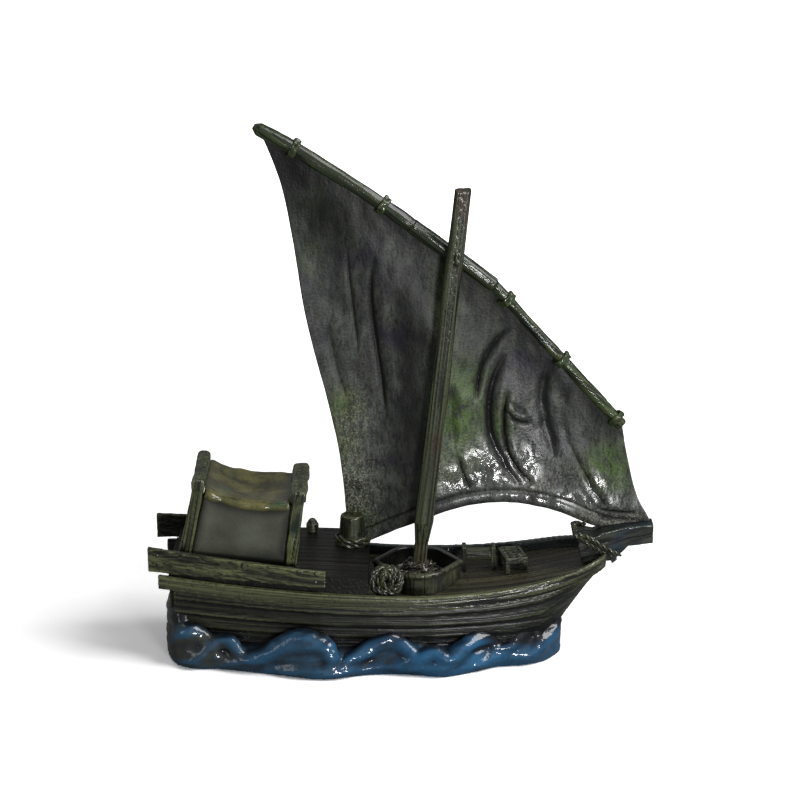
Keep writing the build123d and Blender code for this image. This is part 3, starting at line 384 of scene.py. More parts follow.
def antique_paint(name, ground, brushed, ink_and_shade, tints=(), patch=12.0, gloss=0.16, pits=0.1, pit_size=1.3,
                  speckle=0.6, coat=1.0, fibre=0.0, grain_size=None, grain_ink=0.8, varnish=""):
    """Dark paint, a lighter one brushed over it, tints, ink left in the hollows and painted shade, and a coat
    of varnish.

    Patch and pit size are the widths in mm of a brushed patch and of a pit in the resin. A fibre above 0 adds
    fine relief lines of that height in mm, along the piece's own grain or, with a grain size in mm, along the
    axes, and the brushed patches then follow them. The coat is thick only where the attribute that varnish
    names is high.
    """
    material = new_material(name)
    place = add_node(material, "ShaderNodeTexCoord").outputs["Object"]
    if grain_size:
        scaled = {0: place, 1: tuple(1 / (size * MM) for size in grain_size)}
        grain = add_node(material, "ShaderNodeVectorMath", scaled, operation="MULTIPLY").outputs[0]
    else:
        grain = add_node(material, "ShaderNodeAttribute", attribute_name="grain").outputs["Vector"]
    # With fibre, a brushed patch is between four and five lines wide
    brush, strokes = (grain, 0.22) if fibre else (place, 1 / (patch * MM))
    cloud = add_node(material, "ShaderNodeTexNoise", {"Vector": brush, "Scale": strokes, "Detail": 5.0})
    worn = add_node(material, "ShaderNodeAttribute", attribute_name="worn")
    wash_and_shade = add_node(material, "ShaderNodeAttribute", attribute_name="wash_and_shade")
    fine = {"Vector": place, "Scale": 1 / (pit_size * MM), "Detail": 3.0}
    grit = add_node(material, "ShaderNodeTexNoise", fine)
    relief = add_node(material, "ShaderNodeMath", {0: grit.outputs["Fac"], 1: pits}, operation="MULTIPLY")
    # Layers from the ground up: what spreads one, from which value to which, its strength and its colour
    layers = [(cloud, 0.38, 0.66, 1.0, brushed)]
    for tint, attribute, size, low, high in tints:
        spots = {"Vector": place, "Scale": 1 / (size * MM), "Detail": 4.0}
        spread = add_node(material, "ShaderNodeTexNoise", spots)
        strength = 1.0
        if attribute:
            strength = add_node(material, "ShaderNodeAttribute", attribute_name=attribute).outputs["Fac"]
        layers.append((spread, low, high, strength, tint))
    layers += [(worn, 0.1, 1.3, 1.0, brushed), (grit, 0.56, 0.70, speckle, ink_and_shade)]
    if fibre:
        lines = add_node(material, "ShaderNodeTexNoise", {"Vector": grain, "Scale": 1.0, "Detail": 3.0})
        layers.append((lines, 0.50, 0.40, grain_ink, ink_and_shade))
        raised = {0: lines.outputs["Fac"], 1: fibre, 2: relief.outputs[0]}
        relief = add_node(material, "ShaderNodeMath", raised, operation="MULTIPLY_ADD")
    # Ink in the hollows and painted shade, where the piece's attribute for both is high
    layers.append((wash_and_shade, 0.05, 0.8, 1.0, ink_and_shade))
    colour = linear(ground)
    for spread, low, high, strength, over in layers:
        share = add_node(material, "ShaderNodeMapRange", {
            "Value": spread.outputs["Fac"], "From Min": low, "From Max": high, "To Max": strength,
        })
        mixed = {0: share.outputs[0], 6: colour, 7: linear(over)}
        colour = add_node(material, "ShaderNodeMix", mixed, data_type="RGBA").outputs[2]
    bump = add_node(material, "ShaderNodeBump", {"Height": relief.outputs[0], "Distance": MM}).outputs[0]
    lacquer = {"Coat Weight": coat, "Coat Roughness": gloss, "Coat Normal": bump}
    if varnish:
        held = add_node(material, "ShaderNodeAttribute", attribute_name=varnish).outputs["Fac"]
        for socket, dry, wet in (("Coat Weight", 0.12, coat), ("Coat Roughness", 0.45, gloss)):
            between = {"Value": held, "To Min": dry, "To Max": wet}
            lacquer[socket] = add_node(material, "ShaderNodeMapRange", between).outputs[0]
        # Above a real lacquer's 1.5, so that the wet patches glint as strongly as they do on the model
        lacquer["Coat IOR"] = 1.85
    skin = add_node(material, "ShaderNodeBsdfPrincipled", {
        "Base Color": colour, "Roughness": 0.5, "Specular IOR Level": 0.25, "Normal": bump, **lacquer,
    })
    add_node(material, "ShaderNodeOutputMaterial", {"Surface": skin.outputs[0]})
    return material


def dress(piece, material, slot, *nodes):
    """Gives a piece its finish and its body, and hides the CAD nodes that it stands for. Its slot is not
    used.
    """
    piece.data.materials.clear()
    piece.data.materials.append(material)
    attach(piece, "root")
    if nodes:
        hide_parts(*nodes)


def wave_ring(x, star_half, star_high, port_half, port_high):
    """One cross-section of the waves, as points in mm."""
    star_in, port_in = min(WAVE_SHOULDER, 0.45 * star_half), min(WAVE_SHOULDER, 0.45 * port_half)
    outline = [
        (-star_half, 0), (-star_half - WAVE_BULGE, 0.35 * star_high),
        (-star_half + 0.25 * star_in, 0.75 * star_high), (-star_half + star_in, star_high),
        (port_half - port_in, port_high), (port_half - 0.25 * port_in, 0.75 * port_high),
        (port_half + WAVE_BULGE, 0.35 * port_high), (port_half, 0),
    ]
    return np.insert(evenly(outline, WAVE_RING_POINTS), 0, x, axis=1)


stations = smooth_run(WAVE_STATIONS, WAVE_RINGS)
rings = np.concatenate([wave_ring(*row) for row in stations])
count = WAVE_RING_POINTS
body_faces = [
    (i + k, i + (k + 1) % count, i + count + (k + 1) % count, i + count + k)
    for i in range(0, len(rings) - count, count) for k in range(count)
]
body_faces += [tuple(range(count))[::-1], tuple(range(len(rings) - count, len(rings)))]
body_mesh = bpy.data.meshes.new("wave_body")
body_mesh.from_pydata([tuple(point * MM) for point in rings], [], body_faces)
waves = bpy.data.objects.new("resin_waves", body_mesh)
bpy.context.collection.objects.link(waves)
backs = []
for side, marks in SWELLS:
    x, z, radius = smooth_run(marks, SWELL_POINTS).T
    half = np.interp(x, stations[:, 0], stations[:, 1 if side < 0 else 3])
    high = np.interp(x, stations[:, 0], stations[:, 2 if side < 0 else 4])
    inward = 0.03 * ((z - 5) * 16 / np.maximum(high, 16)) ** 2
    y = side * (half + WAVE_BULGE - SWELL_INSET * radius - inward)
    backs.append(np.stack([x, y, z, SWELL_THICK * radius], axis=1))
join_onto(waves, tubes("wave_swells", backs))
melt(waves, 0.95, 13)
x, y, z = mm_points(waves).T
streak = noise_field(np.stack([x / 15 - z / 9, y / 15, z / 3.4], axis=1), 4)
ripple = noise_field(np.stack([x / 5 - z / 4, y / 6, z / 2.2], axis=1), 8)
push_out(waves, np.clip(z / 4, 0, 1) * (0.75 * streak + 0.36 * ripple))
age(waves, 16, 1.0)
# The foot stays flat on the table, and the stern end stays inside the CAD base
points = mm_points(waves)
points[:, 2] = np.maximum(points[:, 2], 0.0)
points[:, 0] = np.maximum(points[:, 0], box_mm("wave_base")[0][0])
move_to(waves, points)
x, y, z = points.T
paint(waves, "stern", (-10 - x) / 90)
# Painted shade: the upward-facing wave tops above 7 mm are darkened, and so is the resin close under the hull
level = np.clip((normals_of(waves)[:, 2] - 0.55) / 0.4, 0, 1)
add_wash_and_shade(waves, 0.75 * level * np.clip((z - 7) / 4, 0, 1))
paint_shade_near(waves, ["hull_planking"], 3.2, 1.0)
wave_paint = antique_paint(
    "varnished_blue_paint", WAVE_BLUE, WAVE_CREST, WAVE_INK_AND_SHADE, patch=30.0, gloss=0.04, pits=0.38, pit_size=3.4,
    speckle=0.25, tints=[(WAVE_OLIVE, "stern", 22.0, 0.15, 0.55), (WAVE_DEEP, "", 9.0, 0.5, 0.7)],
)
dress(waves, wave_paint, "waves", "wave_base")


# The hull's planks, stem, rails and bulwarks are resin cast from carved wood, with grain cut along each one.
# They were painted dark olive and brushed lighter on the edges, with black left in the grain, under satin
# varnish. The near rail and bulwark are brushed lighter still as painted highlight, and the far rail is
# painted darker and bluer as painted shade and reflection, under wetter varnish. Small dark nail heads hold
# the bulwarks' ends.
SHEER = [(-118, 45.4), (-107, 44.3), (-71, 41.5), (-34, 39.6), (8, 37.8), (40, 39.6), (62, 42.8), (75, 45.6),
         (96, 50.4)]
BOTTOM_TO_SHEER = 34
HULL_GREEN, HULL_BRUSHED, HULL_INK_AND_SHADE, HULL_BLUE = "#1e2119", "#5b5f45", "#040504", "#171c1e"
RAIL_GREEN, RAIL_BRUSH_AND_HIGHLIGHT = "#24281a", "#6a6f4a"
FAR_RAIL_SHADE_BLUE, FAR_RAIL_BRUSH_AND_SHEEN = "#12171a", "#434e4e"
NAIL_BLACK, NAIL_BRUSHED = "#0d0e0b", "#3a3c2c"
NAIL_RADIUS, NAIL_INSET, NAIL_STEPS = 0.9, 4.5, (-2.2, 2.0)
NAIL_BELOW_TOP, NAIL_ABOVE_FOOT, WELL_OUTBOARD = 5.5, 5.0, 60.0
FIBRE_WIDTH, FIBRE_LENGTH = 0.95, 110.0


def copy_of(name, *nodes):
    """A welded copy of CAD nodes, joined into one mesh at the origin."""
    copies = []
    for node in nodes:
        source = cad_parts[node]
        copy = bpy.data.objects.new(name, source.data.copy())
        copy.data.transform(source.matrix_world)
        copy.data.materials.clear()
        bpy.context.collection.objects.link(copy)
        copies.append(copy)
    bpy.ops.object.select_all(action="DESELECT")
    for copy in copies:
        copy.select_set(True)
    bpy.context.view_layer.objects.active = copies[-1]
    if len(copies) > 1:
        bpy.ops.object.join()
    piece = bpy.context.object
    piece.name = name
    bpy.ops.object.mode_set(mode="EDIT")
    bpy.ops.mesh.select_all(action="SELECT")
    bpy.ops.mesh.remove_doubles(threshold=0.01 * MM)
    bpy.ops.object.mode_set(mode="OBJECT")
    return piece


def carve(piece, along, run, width, depth, seed, lines=5.0, inboard=None):
    """Cuts grain into a piece, as lines that run along one direction with low swells between them.

    Run, width and depth are a line's length, spacing and depth in mm, and more lines make it thinner.
    With inboard given, the lines follow the sheer, and differ by that much of the way in from the beam.
    """
    along = np.asarray(along, float) / np.linalg.norm(along)
    place = mm_points(piece)
    if inboard is not None:
        x, beam_y, z = place.T.copy()
        sheer_x, sheer_z = np.array(SHEER).T
        above = np.clip(z / BOTTOM_TO_SHEER - 0.2, 0, 1)
        place[:, 2] -= (np.interp(x, sheer_x, sheer_z) - sheer_z.min()) * above
        bins = np.arange(x.min(), x.max() + 6, 6.0)
        slot = np.digitize(x, bins) - 1
        beam = np.array([np.abs(beam_y[slot == k]).max(initial=0.0) for k in range(len(bins))])
        place[:, 1] = inboard * (np.abs(beam_y) - np.interp(x, bins + 3, beam))
    reach = place @ along
    across = place - np.outer(reach, along)
    streaks = np.outer(reach / run, along)
    fine = noise_field(across / width + streaks + 0.37 * seed, seed)
    broad = noise_field(across / (3 * width) + streaks + 5.1, seed + 1)
    cut = np.clip(1 - lines * np.abs(fine), 0, 1) * (0.45 + 0.55 * (broad > -0.1))
    push_out(piece, depth * (0.45 * broad - cut))
    age(piece, 3, 7.0)
    add_wash_and_shade(piece, cut)
    grain = piece.data.attributes.new("grain", "FLOAT_VECTOR", "POINT")
    fibres = across / FIBRE_WIDTH + np.outer(reach / FIBRE_LENGTH + seed, along)
    grain.data.foreach_set("vector", fibres.astype(np.float32).ravel())


hull = copy_of("carved_planking", "hull_planking", "stem_post")
melt(hull, 0.68, 1)
carve(hull, (1, 0, 0), 150.0, 1.35, 0.3, 2, lines=4.0, inboard=0.04)
x, y, z = mm_points(hull).T
# Painted shade: the bulwarks' inboard faces above the deck are darkened, and so is the planking close to the
# waves
inner = (normals_of(hull)[:, 1] * np.sign(y) < -0.5) & (z > 24)
add_wash_and_shade(hull, 0.85 * inner)
paint_shade_near(hull, ["wave_base"], 6.5, 0.8)
hull_paint = antique_paint("antique_olive_paint", HULL_GREEN, HULL_BRUSHED, HULL_INK_AND_SHADE, gloss=0.26, fibre=0.4,
                           coat=0.5, tints=[(HULL_BLUE, "", 40.0, 0.46, 0.66)])
dress(hull, hull_paint, "hull", "hull_planking", "stem_post")
lit_rail_paint = antique_paint("antique_lit_rail_paint", RAIL_GREEN, RAIL_BRUSH_AND_HIGHLIGHT, HULL_INK_AND_SHADE, gloss=0.1, fibre=0.5)
shaded_far_rail_paint = antique_paint("varnished_shaded_far_rail_paint", FAR_RAIL_SHADE_BLUE, FAR_RAIL_BRUSH_AND_SHEEN, HULL_INK_AND_SHADE, gloss=0.05,
                               pits=0.3, fibre=0.4)
nail_runs = []
# The near side takes the lighter rail paint as painted highlight; the far rail takes the dark blue paint as
# painted shade and reflection
for side, out, rail_finish, plank_finish in (
    ("starboard", -1, lit_rail_paint, lit_rail_paint),
    ("port", 1, shaded_far_rail_paint, hull_paint),
):
    rail = copy_of("carved_rail_" + side, "rail_" + side)
    melt(rail, 0.6, 2)
    carve(rail, (1, 0, 0), 80.0, 1.3, 0.26, 5, inboard=0.6)
    dress(rail, rail_finish, "rails", "rail_" + side)
    plank = copy_of("carved_bulwark_" + side, "bulwark_" + side)
    melt(plank, 0.5, 3)
    carve(plank, (1, 0, -0.1), 60.0, 1.4, 0.28, 8)
    dress(plank, plank_finish, "hull", "bulwark_" + side)
    low, high = box_mm("bulwark_" + side)
    plank_skin = skin_of(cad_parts["bulwark_" + side])
    aft_end = (low[0] + NAIL_INSET, high[2] - NAIL_BELOW_TOP)
    fore_end = (high[0] - NAIL_INSET, low[2] + NAIL_ABOVE_FOOT)
    for nail_x, level in (aft_end, fore_end):
        for step in NAIL_STEPS:
            start = Vector((nail_x, out * WELL_OUTBOARD, level + step))
            seat = plank_skin.ray_cast(start, Vector((0, -out, 0)))[0]
            nail_runs.append([
                (seat[0], seat[1] - 0.5 * out, seat[2], NAIL_RADIUS),
                (seat[0], seat[1] + 0.35 * out, seat[2], NAIL_RADIUS - 0.15),
            ])
board = copy_of("carved_transom", "transom_board")
melt(board, 0.6, 2)
carve(board, (0, 1, 0), 18.0, 1.6, 0.3, 11)
dress(board, hull_paint, "hull", "transom_board")
nails = tubes("plank_nails", nail_runs, 12)
nails.data.shade_smooth()
dress(nails, antique_paint("dark_nail_paint", NAIL_BLACK, NAIL_BRUSHED, HULL_INK_AND_SHADE, gloss=0.08), "fittings")


# The decks are laid planks, cast with the hull, and keep their CAD shapes.
# Brown-black paint, with the grain as fine relief, is thickly varnished forward and left duller aft.
# Forward its lighter brushing is partly painted glare.
DECK_INK, DECK_GRAIN = "#030303", (60, 1.1, 60)
for node, deck_brown, deck_brush_and_glare, coat in (
    ("main_deck", "#13120d", "#514e38", 1.0),
    ("aft_deck", "#080808", "#24221c", 0.4),
):
    deck_paint = antique_paint("varnished_paint_" + node, deck_brown, deck_brush_and_glare, DECK_INK, pits=0.3,
                               speckle=0.9, fibre=0.5, grain_size=DECK_GRAIN, coat=coat)
    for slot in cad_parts[node].material_slots:
        slot.material = deck_paint


# The cabin leans forward: rough posts and two top logs that the carver ran into each other, in moss green.
# Smooth panels of cloth or matting in grey olive fill its sides, darkened in their corners as painted shade.
# Its roof is a sagging awning with a rolled hem, pulled into low folds and painted the colour of straw.
POST_GREEN, POST_BRUSHED, POST_OCHRE, POST_DEEP = "#262d1a", "#646c42", "#5d5324", "#14281b"
PANEL_GREY, PANEL_BRUSHED = "#41443a", "#5f6253"
ROOF_OLIVE, ROOF_BRUSHED, ROOF_INK_AND_SHADE, ROOF_GREEN = "#38361f", "#6b683d", "#12130a", "#2d4a2e"
POSTS = ["cabin_post_%s_%s" % (end, side) for end in ("aft", "fore") for side in ("starboard", "port")]
TIMBERS = [*POSTS, "cabin_log_aft", "cabin_log_fore"]
WALLS = ["cabin_wall_" + side for side in ("starboard", "port", "aft", "fore")]
AWNING = ["cabin_roof", "cabin_hem_starboard", "cabin_hem_port"]
timbers = copy_of("carved_cabin_timbers", *TIMBERS)
melt(timbers, 0.5, 5)
push_out(timbers, 0.35 * noise_field(mm_points(timbers) / 6.5, 3))
carve(timbers, (0.18, 0, 1), 26.0, 1.5, 0.28, 14)
post_paint = antique_paint("antique_moss_paint", POST_GREEN, POST_BRUSHED, HULL_INK_AND_SHADE, fibre=0.35,
                           tints=[(POST_OCHRE, "", 12.0, 0.56, 0.72), (POST_DEEP, "", 16.0, 0.5, 0.62)])
dress(timbers, post_paint, "cabin", *TIMBERS)
walls = copy_of("cabin_panels", *WALLS)
melt(walls, 0.75, 2)
push_out(walls, 0.3 * noise_field(mm_points(walls) / (14, 14, 9), 17))
age(walls, 6, 3.0)
# Painted shade where the panels meet the posts and awning, and along the bulwarks and aft deck
paint_shade_near(walls, [*POSTS, *AWNING], 3.2, 0.75)
paint_shade_near(walls, ["bulwark_starboard", "bulwark_port", "aft_deck"], 5.0, 0.8)
wall_paint = antique_paint("varnished_grey_olive_paint", PANEL_GREY, PANEL_BRUSHED, HULL_INK_AND_SHADE, patch=22.0,
                           gloss=0.2, speckle=0.12)
dress(walls, wall_paint, "cabin_panel", *WALLS)
awning = copy_of("cloth_awning", *AWNING)
melt(awning, 0.5, 4)
x, y, z = mm_points(awning).T
push_out(awning, 0.55 * noise_field(np.stack([x / 4.6 + y / 30, y / 24, z / 30], axis=1), 6))
age(awning, 8, 2.6)
# Painted shade where the awning lies close to the top logs
paint_shade_near(awning, ["cabin_log_aft", "cabin_log_fore"], 2.2, 0.5)
awning_paint = antique_paint("antique_straw_paint", ROOF_OLIVE, ROOF_BRUSHED, ROOF_INK_AND_SHADE, patch=9.0, gloss=0.12,
                             tints=[(ROOF_GREEN, "", 14.0, 0.55, 0.7)])
dress(awning, awning_paint, "roof", *AWNING)


# The tub round the mast is carved with upright grain and painted olive, with painted shade near black inside.
# A dark heap of net is cast in it: a low mound with small curls all over, in wet brown-black paint.
TUB_GREEN, TUB_BRUSHED = "#1c1d17", "#4b4d37"
NET_BROWN, NET_BRUSHED, NET_INK = "#120f0b", "#4a4433", "#040403"
CURLS, CURL_POINTS, CURL_THICK, CURL_SPREAD = 110, 12, 0.5, 0.84
tub = copy_of("carved_tub", "mast_tub")
melt(tub, 0.5, 5)
carve(tub, (0, 0, 1), 22.0, 2.4, 0.14, 20)
points, normals = mm_points(tub), normals_of(tub)
# Painted shade: the tub's inward faces are darkened near to black
inside = -(normals * (points - points.mean(axis=0)) * (1, 1, 0)).sum(axis=1) > 1.0
add_wash_and_shade(tub, 0.95 * inside)
tub_paint = antique_paint("varnished_tub_paint", TUB_GREEN, TUB_BRUSHED, HULL_INK_AND_SHADE, patch=7.0, gloss=0.08)
dress(tub, tub_paint, "fittings", "mast_tub")
heap = copy_of("net_mound", "net_heap", "mast_step")
heap_skin = skin_of(heap)
low, high = box_mm("net_heap", "mast_step")
centre, reach = (low + high) / 2, (high - low) / 2
dice = np.random.default_rng(7)
curls = []
for _ in range(CURLS):
    turn, out = dice.uniform(0, 2 * pi), dice.uniform(0, 1) ** 0.5 * CURL_SPREAD
    x, y = centre[0] + cos(turn) * out * reach[0], centre[1] + sin(turn) * out * reach[1]
    seat = heap_skin.ray_cast(Vector((x, y, high[2] + 9)), Vector((0, 0, -1)))[0]
    if seat is None:
        continue
    tilt = dice.uniform(-0.8, 0.8, 2)
    ring = dice.uniform(1.0, 1.8)
    t = np.linspace(0, dice.uniform(1.1, 1.9) * pi, CURL_POINTS) + dice.uniform(0, 2 * pi)
    bent = np.stack([np.cos(t), np.sin(t), tilt[0] * np.cos(t) + tilt[1] * np.sin(t)], axis=1)
    curls.append(np.insert(np.array(seat) + ring * bent, 3, CURL_THICK, axis=1))
net = tubes("net_curls", curls, 6)
join_onto(net, heap)
melt(net, 0.32, 1)
age(net, 4, 3.0)
net_paint = antique_paint("varnished_net_paint", NET_BROWN, NET_BRUSHED, NET_INK, patch=3.0, gloss=0.08)
dress(net, net_paint, "fittings", "net_heap", "mast_step")


# The mast is a squared trunk, stepped in the tub, with a small eye near its head.
# Long deep grain runs up it, painted green with brown patches, and black in the grain.
MAST_LINE = (19.5, 0.0, 180.0)
MAST_GREEN, MAST_BRUSHED, MAST_BROWN = "#1b1f16", "#525a3d", "#3f2818"
mast = copy_of("carved_mast", "mast", "mast_eye")
melt(mast, 0.5, 3)
push_out(mast, 0.45 * noise_field(mm_points(mast) / (9, 9, 26), 9))
carve(mast, MAST_LINE, 70.0, 1.5, 0.5, 23, lines=3.4)
mast_paint = antique_paint("antique_mast_paint", MAST_GREEN, MAST_BRUSHED, HULL_INK_AND_SHADE, fibre=0.6,
                           tints=[(MAST_BROWN, "", 18.0, 0.5, 0.64)])
dress(mast, mast_paint, "mast", "mast", "mast_eye")


# The yard is a bent bough: an upper and a lower spar in a thick sleeve, crooked and with shallow grain.
# Knotted turns of rope lash it to the sail. Both are painted dark green and thinly varnished.
YARD_LINE = (0.78, 0, -0.62)
YARD_GREEN, YARD_BRUSHED = "#172014", "#46552f"
yard = copy_of("carved_yard", "yard_upper", "yard_sleeve", "yard_lower")
melt(yard, 0.5, 3)
push_out(yard, 0.45 * noise_field(mm_points(yard) / (11, 7, 9), 12))
carve(yard, YARD_LINE, 40.0, 1.6, 0.2, 26)
yard_paint = antique_paint("antique_yard_paint", YARD_GREEN, YARD_BRUSHED, HULL_INK_AND_SHADE, gloss=0.1, fibre=0.25,
                           coat=0.6)
dress(yard, yard_paint, "yard", "yard_upper", "yard_sleeve", "yard_lower")
knots = copy_of("knotted_lashings", "yard_lashings")
melt(knots, 0.4, 3)
push_out(knots, 0.7 * noise_field(mm_points(knots) / 1.9, 15))
age(knots, 4, 3.0)
dress(knots, yard_paint, "rope", "yard_lashings")


# The sail is cast resin, carved as creased cloth that bellies away to port, with a rolled hem along its foot.
# It was painted in grey and moss green over black, and wiped so that black stays in brush marks; its folds
# are darkened as painted shade.
# Its varnish lies thick in wet patches, where it glints, and thin elsewhere, which leaves the paint dull.
TIP, HEEL = (-65.6, 248.2), (102.4, 107.6)
YARD_RUN = [TIP, (-48.5, 238.3), (-30.0, 226.8), (-13.0, 215.4), (4.0, 203.2), (22.0, 190.5), (41.8, 175.3),
            (62.0, 152.2), (82.0, 130.0), HEEL]
AFT_EDGE = [TIP, (-56.5, 224.0), (-51.4, 197.0), (-44.6, 154.0), (-34.4, 112.0), (-29.4, 84.0),
            (-26.0, 47.4)]
FOOT = [(-26.0, 47.4), (-19.0, 46.8), (-11.0, 50.6), (2.0, 57.7), (22.0, 66.6), (46.0, 70.0), (70.0, 67.0),
        (91.5, 59.2), (116.8, 56.0)]
FORE_EDGE = [HEEL, (106.0, 88.0), (110.0, 73.7), (116.8, 60.6), (116.8, 56.0)]
# How the cloth lies across the boat. Columns: height, x and y of the aft edge, belly, x and y at the mast,
# belly, x and y of the fore edge
SAIL_LIE = [
    (40.0, -34.0, 21.0, 1.0, 8.0, 9.0, 2.0, 120.0, 1.0),
    (66.0, -34.0, 20.0, 2.0, 10.0, 7.2, 2.5, 122.0, 2.0),
    (100.0, -38.0, 15.0, 3.5, 13.5, 7.0, 6.0, 115.0, 6.0),
    (145.0, -50.0, 12.0, 4.5, 18.0, 7.4, 5.0, 90.0, 7.8),
    (195.0, -60.0, 10.0, 3.0, -18.0, 9.6, 1.0, 40.0, 7.8),
    (252.0, -76.0, 8.4, 0.6, -60.0, 8.2, 0.6, -40.0, 7.8),
]
# Folds, or rolls where the depth is below 0. Columns: depth, half-width, how dark the painted shade in it is,
# and its points in x and z
FOLDS = [
    (0.7, 1.2, 0.7, [(-26.0, 191.0), (-25.0, 178.0), (-23.4, 165.0), (-22.0, 152.0), (-21.5, 142.0)]),
    (1.1, 2.0, 0.95, [
        (-13.0, 189.0), (-15.0, 175.0), (-14.2, 160.0), (-12.6, 146.0), (-10.0, 128.0), (-7.5, 108.0),
    ]),
    (0.6, 2.0, 0.35, [(-36.0, 160.0), (-33.0, 140.0), (-27.0, 118.0)]),
    (1.2, 1.8, 0.95, [(50.5, 154.5), (43.5, 148.5), (37.0, 138.0), (34.6, 128.0), (34.0, 118.5)]),
    (1.9, 2.7, 1.0, [
        (47.5, 141.5), (43.0, 132.0), (40.2, 120.0), (40.6, 104.0), (44.5, 94.0), (50.0, 84.0), (55.5, 77.5),
    ]),
    (1.7, 1.7, 1.0, [(49.0, 124.0), (47.4, 112.0), (48.2, 98.0), (52.5, 87.5), (61.0, 77.5)]),
    (1.2, 3.4, 0.9, [(68.5, 138.5), (65.5, 126.0), (66.0, 112.0), (69.5, 99.0), (71.0, 90.0)]),
    (0.4, 2.4, 0.5, [(77.0, 128.0), (75.0, 117.0), (76.0, 104.0), (79.0, 92.0)]),
    (-2.4, 1.0, 0.0, [(49.0, 117.6), (51.0, 113.6), (54.2, 111.2), (58.6, 110.4)]),
    (1.6, 1.4, 1.0, [(49.2, 113.6), (52.6, 109.6), (59.6, 107.6)]),
    (0.9, 1.2, 0.6, [(25.5, 92.5), (28.0, 84.0), (31.0, 76.0)]),
    (0.7, 2.4, 0.3, [(22.5, 128.0), (22.0, 110.0), (24.0, 94.0)]),
    (0.6, 1.4, 0.5, [(85.0, 84.0), (90.5, 74.0), (97.0, 68.0)]),
    (0.4, 1.4, 0.4, [(78.0, 98.0), (84.0, 86.0), (94.0, 72.0)]),
    (0.7, 1.3, 0.8, [(90.0, 63.6), (98.0, 62.8), (108.0, 62.4)]),
    (0.7, 1.2, 0.8, [(92.0, 66.8), (101.0, 66.0), (110.0, 66.0)]),
]
# Patches of paint and wear, and of painted shade and painted light. Columns: x, z, half-width and
# half-height, strength
MOSS = [
    (26, 113, 12, 26, 1.0), (46, 106, 5, 14, 0.7), (96, 86, 13, 12, 1.0), (-28, 116, 7, 8, 0.9),
    (-30, 98, 7, 12, 0.5), (-45, 200, 12, 22, 0.4), (20, 170, 6, 20, 0.6), (-20, 58, 8, 6, 0.5),
    (106, 100, 6, 10, 0.6),
]
# Painted shade and shadow: the mast's shadow on the cloth beside it, shade under the yard, and a few darker
# patches of shade
SAIL_SHADE = [
    (4, 120, 9, 70, 0.6), (66, 140, 9, 8, 0.6), (84, 118, 8, 9, 0.35), (-18, 205, 26, 12, 0.4),
    (30, 172, 12, 8, 0.5), (-48, 232, 22, 20, 0.85), (-40, 206, 22, 20, 0.7), (40, 166, 12, 10, 0.5),
    (-32, 156, 26, 42, 0.18),
]
PITTED = [
    (62, 96, 17, 18, 1.0), (-26, 76, 10, 18, 0.7), (78, 80, 24, 10, 0.9), (26, 78, 14, 8, 0.8),
    (-24, 62, 14, 12, 0.6), (98, 70, 12, 8, 0.9), (-16, 130, 12, 34, 0.4),
]
WET = [
    (40, 86, 17, 15, 1.0), (25, 81, 11, 9, 1.0), (59, 86, 6, 13, 1.0), (66, 71, 42, 4, 1.0),
    (91, 78, 6, 6, 1.0), (56, 108, 30, 22, 0.3),
]
# Pale specks low on the cloth: chalky worn paint, and painted glints of the varnish
CHALK_AND_GLINTS = [
    (-25, 72, 12, 22, 1.0), (-25, 104, 9, 18, 0.65), (100, 63, 18, 4, 0.8), (20, 84, 9, 8, 0.6),
    (60, 80, 16, 8, 0.5),
]
# Paler brushing, mostly low on the cloth, that is partly painted reflected light where the belly faces up
PALE_AND_REFLECTED = [
    (-22, 80, 14, 38, 1.0), (-34, 150, 12, 26, 0.15), (52, 88, 40, 22, 0.8), (100, 74, 14, 16, 0.8),
    (70, 118, 10, 20, 0.4),
]
SAIL_COLUMNS, SAIL_ROWS, SAIL_PASSES, FOLD_POINTS = 215, 200, 120, 30
SAIL_THICK, SAIL_EDGE = 2.4, 0.6
HEM_MIDDLE, HEM_HALF, HEM_PROUD = 2.4, 2.2, 1.15
GROOVE_MIDDLE, GROOVE_HALF, GROOVE_DEPTH = 5.3, 0.75, 0.7
SAIL_GREY, SAIL_BRUSHED, SAIL_INK_AND_SHADE = "#2c2e2f", "#53564d", "#050606"
SAIL_VIOLET, SAIL_PALE_REFLECTED, SAIL_MOSS = "#2c2833", "#6f766f", "#48621f"
SAIL_PIT, SAIL_CHALK_AND_GLINT = "#030303", "#a5a288"


def patches(x, z, spots):
    """How strongly a set of soft oval patches covers each point, from 0 to 1."""
    cover = np.zeros(x.shape)
    for at_x, at_z, half_x, half_z, strength in spots:
        off = ((x - at_x) / half_x) ** 2 + ((z - at_z) / half_z) ** 2
        cover = np.maximum(cover, strength * np.exp(-off))
    return cover


def away_from(x, z, run):
    """Distance of each point from a run, how far along the run it lies from 0 to 1, and on which side."""
    best = np.full(x.shape, 1e9)
    along = np.zeros(x.shape)
    side = np.zeros(x.shape)
    for i in range(len(run) - 1):
        a, b = run[i], run[i + 1]
        d = b - a
        t = np.clip(((x - a[0]) * d[0] + (z - a[1]) * d[1]) / (d @ d), 0, 1)
        ox, oz = x - a[0] - t * d[0], z - a[1] - t * d[1]
        dist = np.hypot(ox, oz)
        near = dist < best
        best = np.where(near, dist, best)
        along = np.where(near, (i + t) / (len(run) - 1), along)
        side = np.where(near, np.sign(d[0] * oz - d[1] * ox), side)
    return best, along, side


